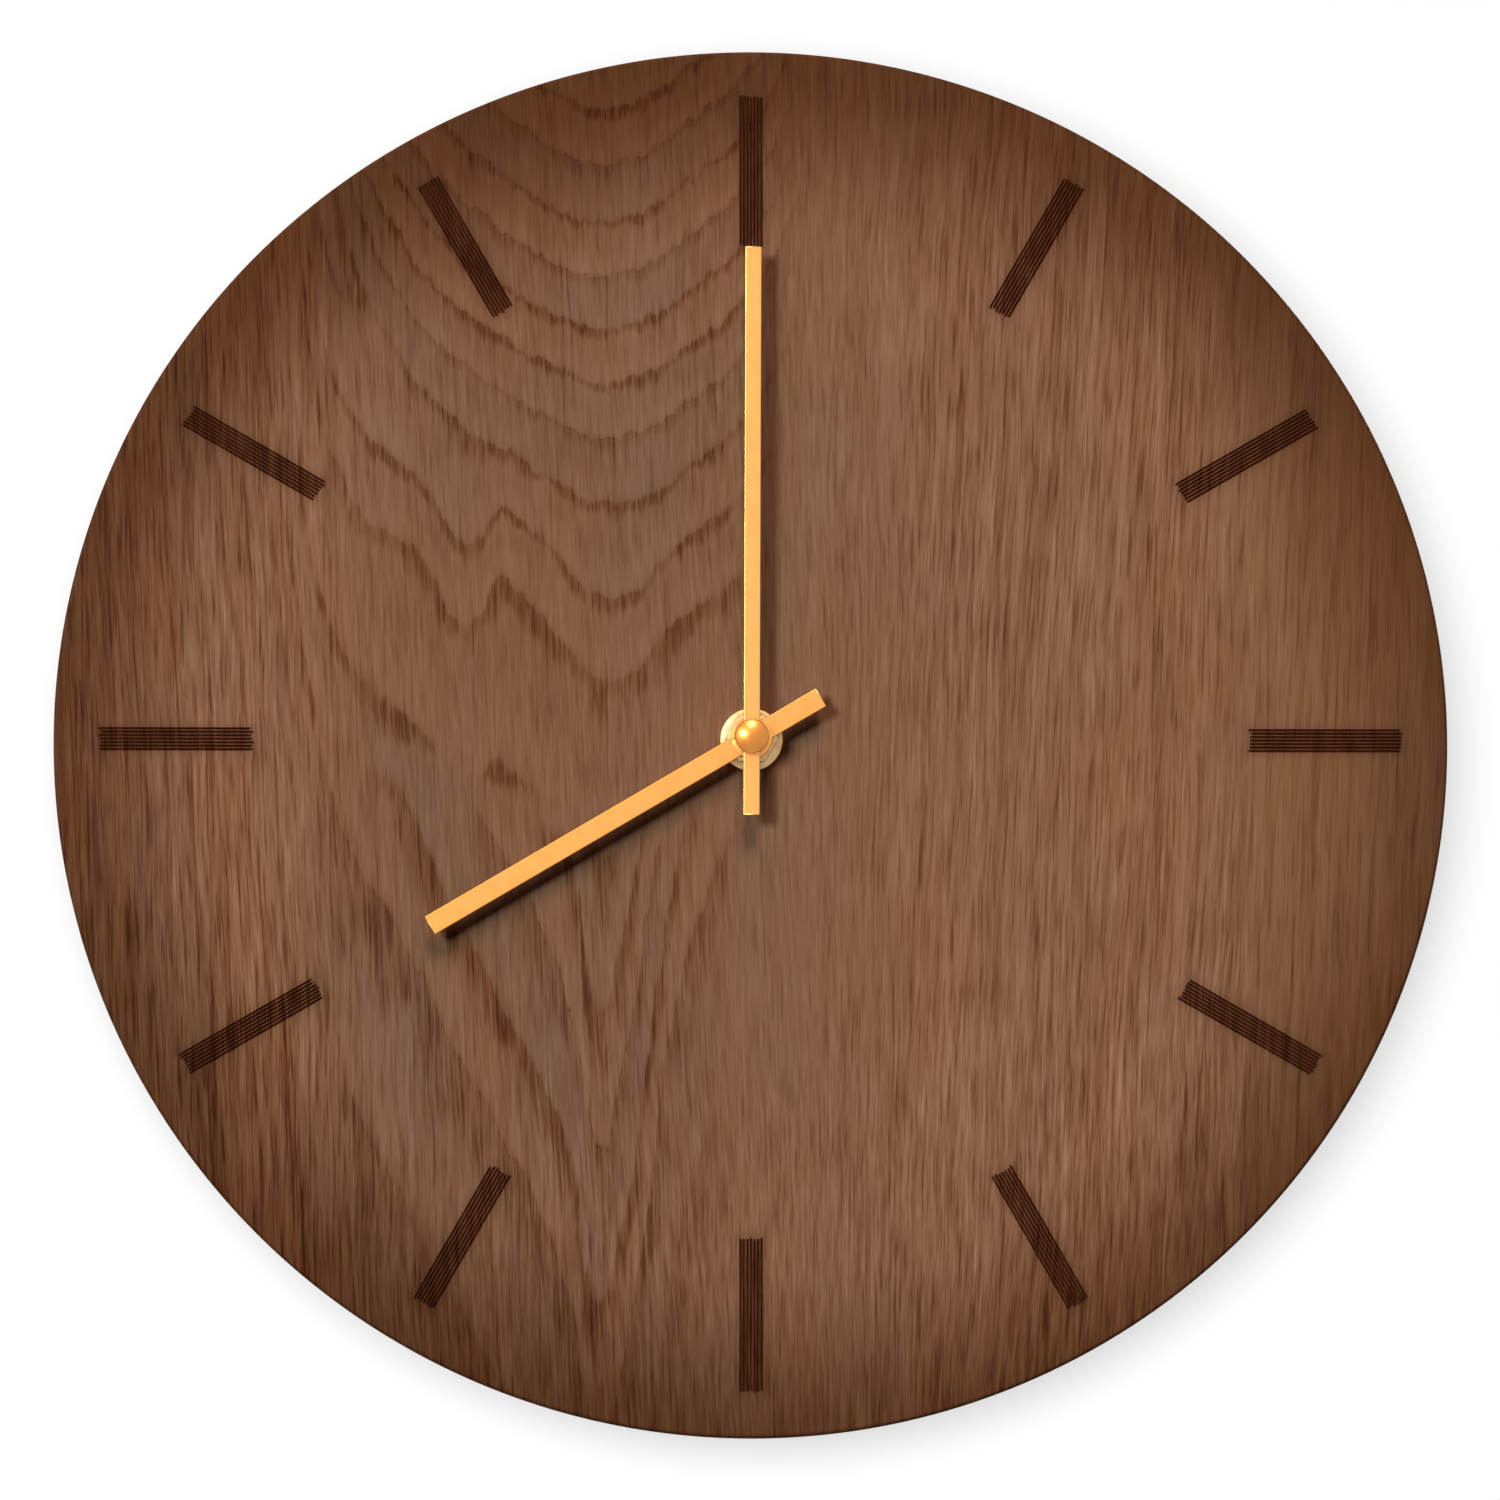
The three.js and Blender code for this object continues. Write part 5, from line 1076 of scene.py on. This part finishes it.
# %% Which solid gets which finish
WORN_BY = {
    bush_brass: ["threaded_bush", "minute_arbor"],
    rubber: ["rubber_gasket"],
    white_plastic: ["hour_wheel", "intermediate_wheel", "centre_wheel", "third_wheel", "fourth_wheel", "fifth_wheel",
                    "rotor_shaft", "coil_bobbin", "middle_plate"],
    bare_copper: ["clutch_spring"],
    magnet: ["rotor_magnet"],
    motor_iron: ["stator", "coil_core"],
    wound_wire: ["coil_winding"],
    laminate: ["circuit_board"],
    resin: ["chip_cover"],
    bright_steel: ["crystal_can"],
    zinc_steel: ["contact_positive", "contact_negative"],
    black_plastic: ["case_front"],
}
for finish, worn_by in WORN_BY.items():
    for name in worn_by:
        nodes[name].material_slots[0].material = finish.material
print(sum(len(worn_by) for worn_by in WORN_BY.values()), "solids finished as they are")

# %% [markdown]
# ## The back of the movement
# From behind one sees the moulded rear cover with a window for the cell, the setting knob in its recess and the
# plate that the clock hangs by. Their solids have the right shape but knife-sharp edges, which no moulding or
# stamping has. So each is copied, its loose triangles are merged and joined into flat faces, and its edges are
# rounded.

# %% A copy of a solid with soft edges
def remade(name, solid, width, steps=2, angle=30.0):
    """A copy of a solid, merged into clean faces and rounded."""
    piece = bpy.data.objects.new(name, nodes[solid].data.copy())
    bpy.context.scene.collection.objects.link(piece)
    only(piece)
    bpy.ops.object.mode_set(mode="EDIT")
    bpy.ops.mesh.select_mode(type="VERT")
    bpy.ops.mesh.select_all(action="SELECT")
    bpy.ops.mesh.remove_doubles(threshold=0.001 * MM)
    bpy.ops.mesh.dissolve_limited(angle_limit=math.radians(0.5))
    bpy.ops.object.mode_set(mode="OBJECT")
    if width:
        soften(piece, width, steps, angle)
    return piece


# %% The knob, the hanger and the cell's cap
knob = remade("setting_knob", "set_knob", 0.15, 2, 30)
dress(knob, white_plastic, "setting", ["set_knob"])
plate = remade("hanger", "hanger_plate", 0.12, 2, 25)
dress(plate, hanger_steel, "board", ["hanger_plate"])
cell_cap = remade("cell_cap", "battery_cap", 0.2, 3, 30)
dress(cell_cap, zinc_steel, "board", ["battery_cap"])

# %% [markdown]
# The mould has pressed a few plain signs into the cover: a shallow panel that is left bare, a double arrow over the
# knob, and a plus and a minus at the two ends of the cell. Each is a small plate that is cut out of the cover.

# %% The cover
SIGN_DEPTH = 0.35
SIGN_LINE = 0.7
SIGN_SPAN = 3.4
POLE_X, POLE_Z = 23, -6.5
ARROW_LENGTH = 9
ARROW_HEAD_R = 1.5
PANEL_DEPTH = 0.25
cover = remade("movement_cover", "rear_cover", 0)
knob_low, knob_high = (drawn(corner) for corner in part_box("set_knob"))
knob_x = (knob_low[0] + knob_high[0]) / 2
sign_front = case_back - SIGN_DEPTH


def sign_bar(x, z, length, height):
    """A bar that is pressed into the cover round one point."""
    combine(cover, stamped("sign_bar", (x - length / 2, z - height / 2), (x + length / 2, z + height / 2),
                           sign_front, case_back + 1))


combine(cover, stamped("bare_panel", (-24.5, 0), (0, 23), case_back - PANEL_DEPTH, case_back + 1, corner=1.5))
sign_bar(-POLE_X, POLE_Z, SIGN_SPAN, SIGN_LINE)
sign_bar(-POLE_X, POLE_Z, SIGN_LINE, SIGN_SPAN)
sign_bar(POLE_X, POLE_Z, SIGN_SPAN, SIGN_LINE)
arrow_z = knob_high[2] + SIGN_SPAN
sign_bar(knob_x, arrow_z, ARROW_LENGTH, SIGN_LINE)
head = rod("arrow_head", ARROW_HEAD_R, sign_front, case_back + 1,
           centre=(knob_x + ARROW_LENGTH / 2, arrow_z), steps=3)
combine(cover, copied(head, "arrow_head_back", turn=math.pi, about=(knob_x, arrow_z)))
combine(cover, head)
soften(cover, 0.12, 2, 35)
dress(cover, black_plastic, "board", ["rear_cover"], flat=True)

# %% [markdown]
# ## The cell
# A dry cell is a steel can in a printed plastic sleeve that shrinks over both ends. The can is a cylinder whose
# ends are inset and pushed in, and the sleeve's colour stops where the bare metal of the ends begins. It carries no
# lettering here, only a plain band.

# %% The cell
low, high = (drawn(corner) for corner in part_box("battery_cell"))
CELL_R = (high[2] - low[2]) / 2
cell_middle = [(a + b) / 2 for a, b in zip(low, high)]
bpy.ops.object.select_all(action="DESELECT")
bpy.ops.mesh.primitive_cylinder_add(vertices=96, radius=CELL_R * MM, depth=(high[0] - low[0]) * MM,
                                    location=at(*cell_middle), rotation=(0, math.radians(90), 0))
cell = bpy.context.object
cell.name = "dry_cell"
bpy.ops.object.transform_apply(location=True, rotation=True, scale=True)
bpy.ops.object.mode_set(mode="EDIT")
for end in (-1, 1):
    pick(cell, "faces", lambda middle, normal: normal.x * end > 0.9)
    bpy.ops.mesh.inset(thickness=0.9 * MM)
    bpy.ops.transform.translate(value=(-end * 0.35 * MM, 0, 0))
bpy.ops.object.mode_set(mode="OBJECT")
soften(cell, 0.3, 3, 40)


def sleeve_finish():
    """A printed sleeve with one pale band, and bare steel inside the turned-in ends."""
    sleeve = Finish("cell_sleeve", Coat_Roughness=0.15)
    where = sleeve.place(centre=at(*cell_middle))
    x, depth, z = sleeve.parts(where)
    radius = (depth * depth + z * z).reckon("SQRT")
    end = sleeve.between(radius, CELL_R - 1.0, CELL_R - 0.9, 1.0, 0.0, smooth=False)
    band = sleeve.between(x, -17.2, -17.0) * sleeve.between(x, -13.2, -13.0, 1.0, 0.0)
    wrinkle = sleeve.noise(sleeve.stretch(where, (0.05, 0.9, 0.9)), detail=3.0)
    print_tone = sleeve.ramp(wrinkle, [(0.3, shown(40, 92, 88)), (0.7, shown(56, 112, 106))])
    print_tone = sleeve.tint(band, print_tone, shown(206, 200, 182))
    base = sleeve.tint(end, print_tone, shown(205, 205, 200))
    sleeve.feed(Base_Color=base, Metallic=end + (1 - end) * (1 - band) * 0.35,
                Roughness=0.34 + wrinkle * 0.1, Coat_Weight=0.6 - end * 0.6,
                Normal=sleeve.bump(wrinkle, 0.00004, 0.3))
    return sleeve


dress(cell, sleeve_finish(), "board", ["battery_cell"])

# %% [markdown]
# ## The hanger's screws
# Two countersunk screws hold the hanger. Each is turned with its thread as a row of ridges, and a cross recess is
# pressed in its head: two crossed bars that taper to a point cut it out.

# %% The screws
RIDGES = 7
PITCH = 1.1
FIRST_RIDGE = 2.6
CORE = 0.68
HEAD_H = 1.2
RECESS_DEPTH = 1.3
HEAD_TURN = {"left": math.radians(25), "right": math.radians(-12)}
for side, solid in (("left", "hanger_screw_left"), ("right", "hanger_screw_right")):
    low, high = (drawn(corner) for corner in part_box(solid))
    place = ((low[0] + high[0]) / 2, (low[2] + high[2]) / 2)
    head_r = (high[0] - low[0]) / 2
    shank_r = head_r / 2
    ridges = []
    for number in range(RIDGES):
        top = high[1] - FIRST_RIDGE - number * PITCH
        ridges += [(shank_r, top), (shank_r, top - 0.15), (shank_r * CORE, top - 0.5), (shank_r * CORE, top - 0.75)]
    screw = turned("screw_" + side, [
        (0, high[1] - 0.12), (head_r * 0.6, high[1] - 0.08), (head_r - 0.08, high[1]), (head_r, high[1] - 0.08),
        (shank_r, high[1] - HEAD_H), *ridges, (0, low[1])], centre=place, steps=48)
    for lean in (0, math.radians(90)):
        slot = stamped("recess", (place[0] - 1.6, place[1] - 0.3), (place[0] + 1.6, place[1] + 0.3),
                       high[1] - RECESS_DEPTH, high[1] + 0.5)
        bpy.ops.object.mode_set(mode="EDIT")
        pick(slot, "faces", lambda middle, normal: normal.y < -0.9)
        bpy.ops.transform.resize(value=(0.3, 1, 0.4), center_override=at(place[0], high[1] - RECESS_DEPTH, place[1]))
        bpy.ops.mesh.select_all(action="SELECT")
        bpy.ops.transform.rotate(value=lean + HEAD_TURN[side], orient_axis="Y",
                                 center_override=at(place[0], 0, place[1]))
        bpy.ops.object.mode_set(mode="OBJECT")
        combine(screw, slot)
    dress(screw, yellow_zinc, "board", [solid])
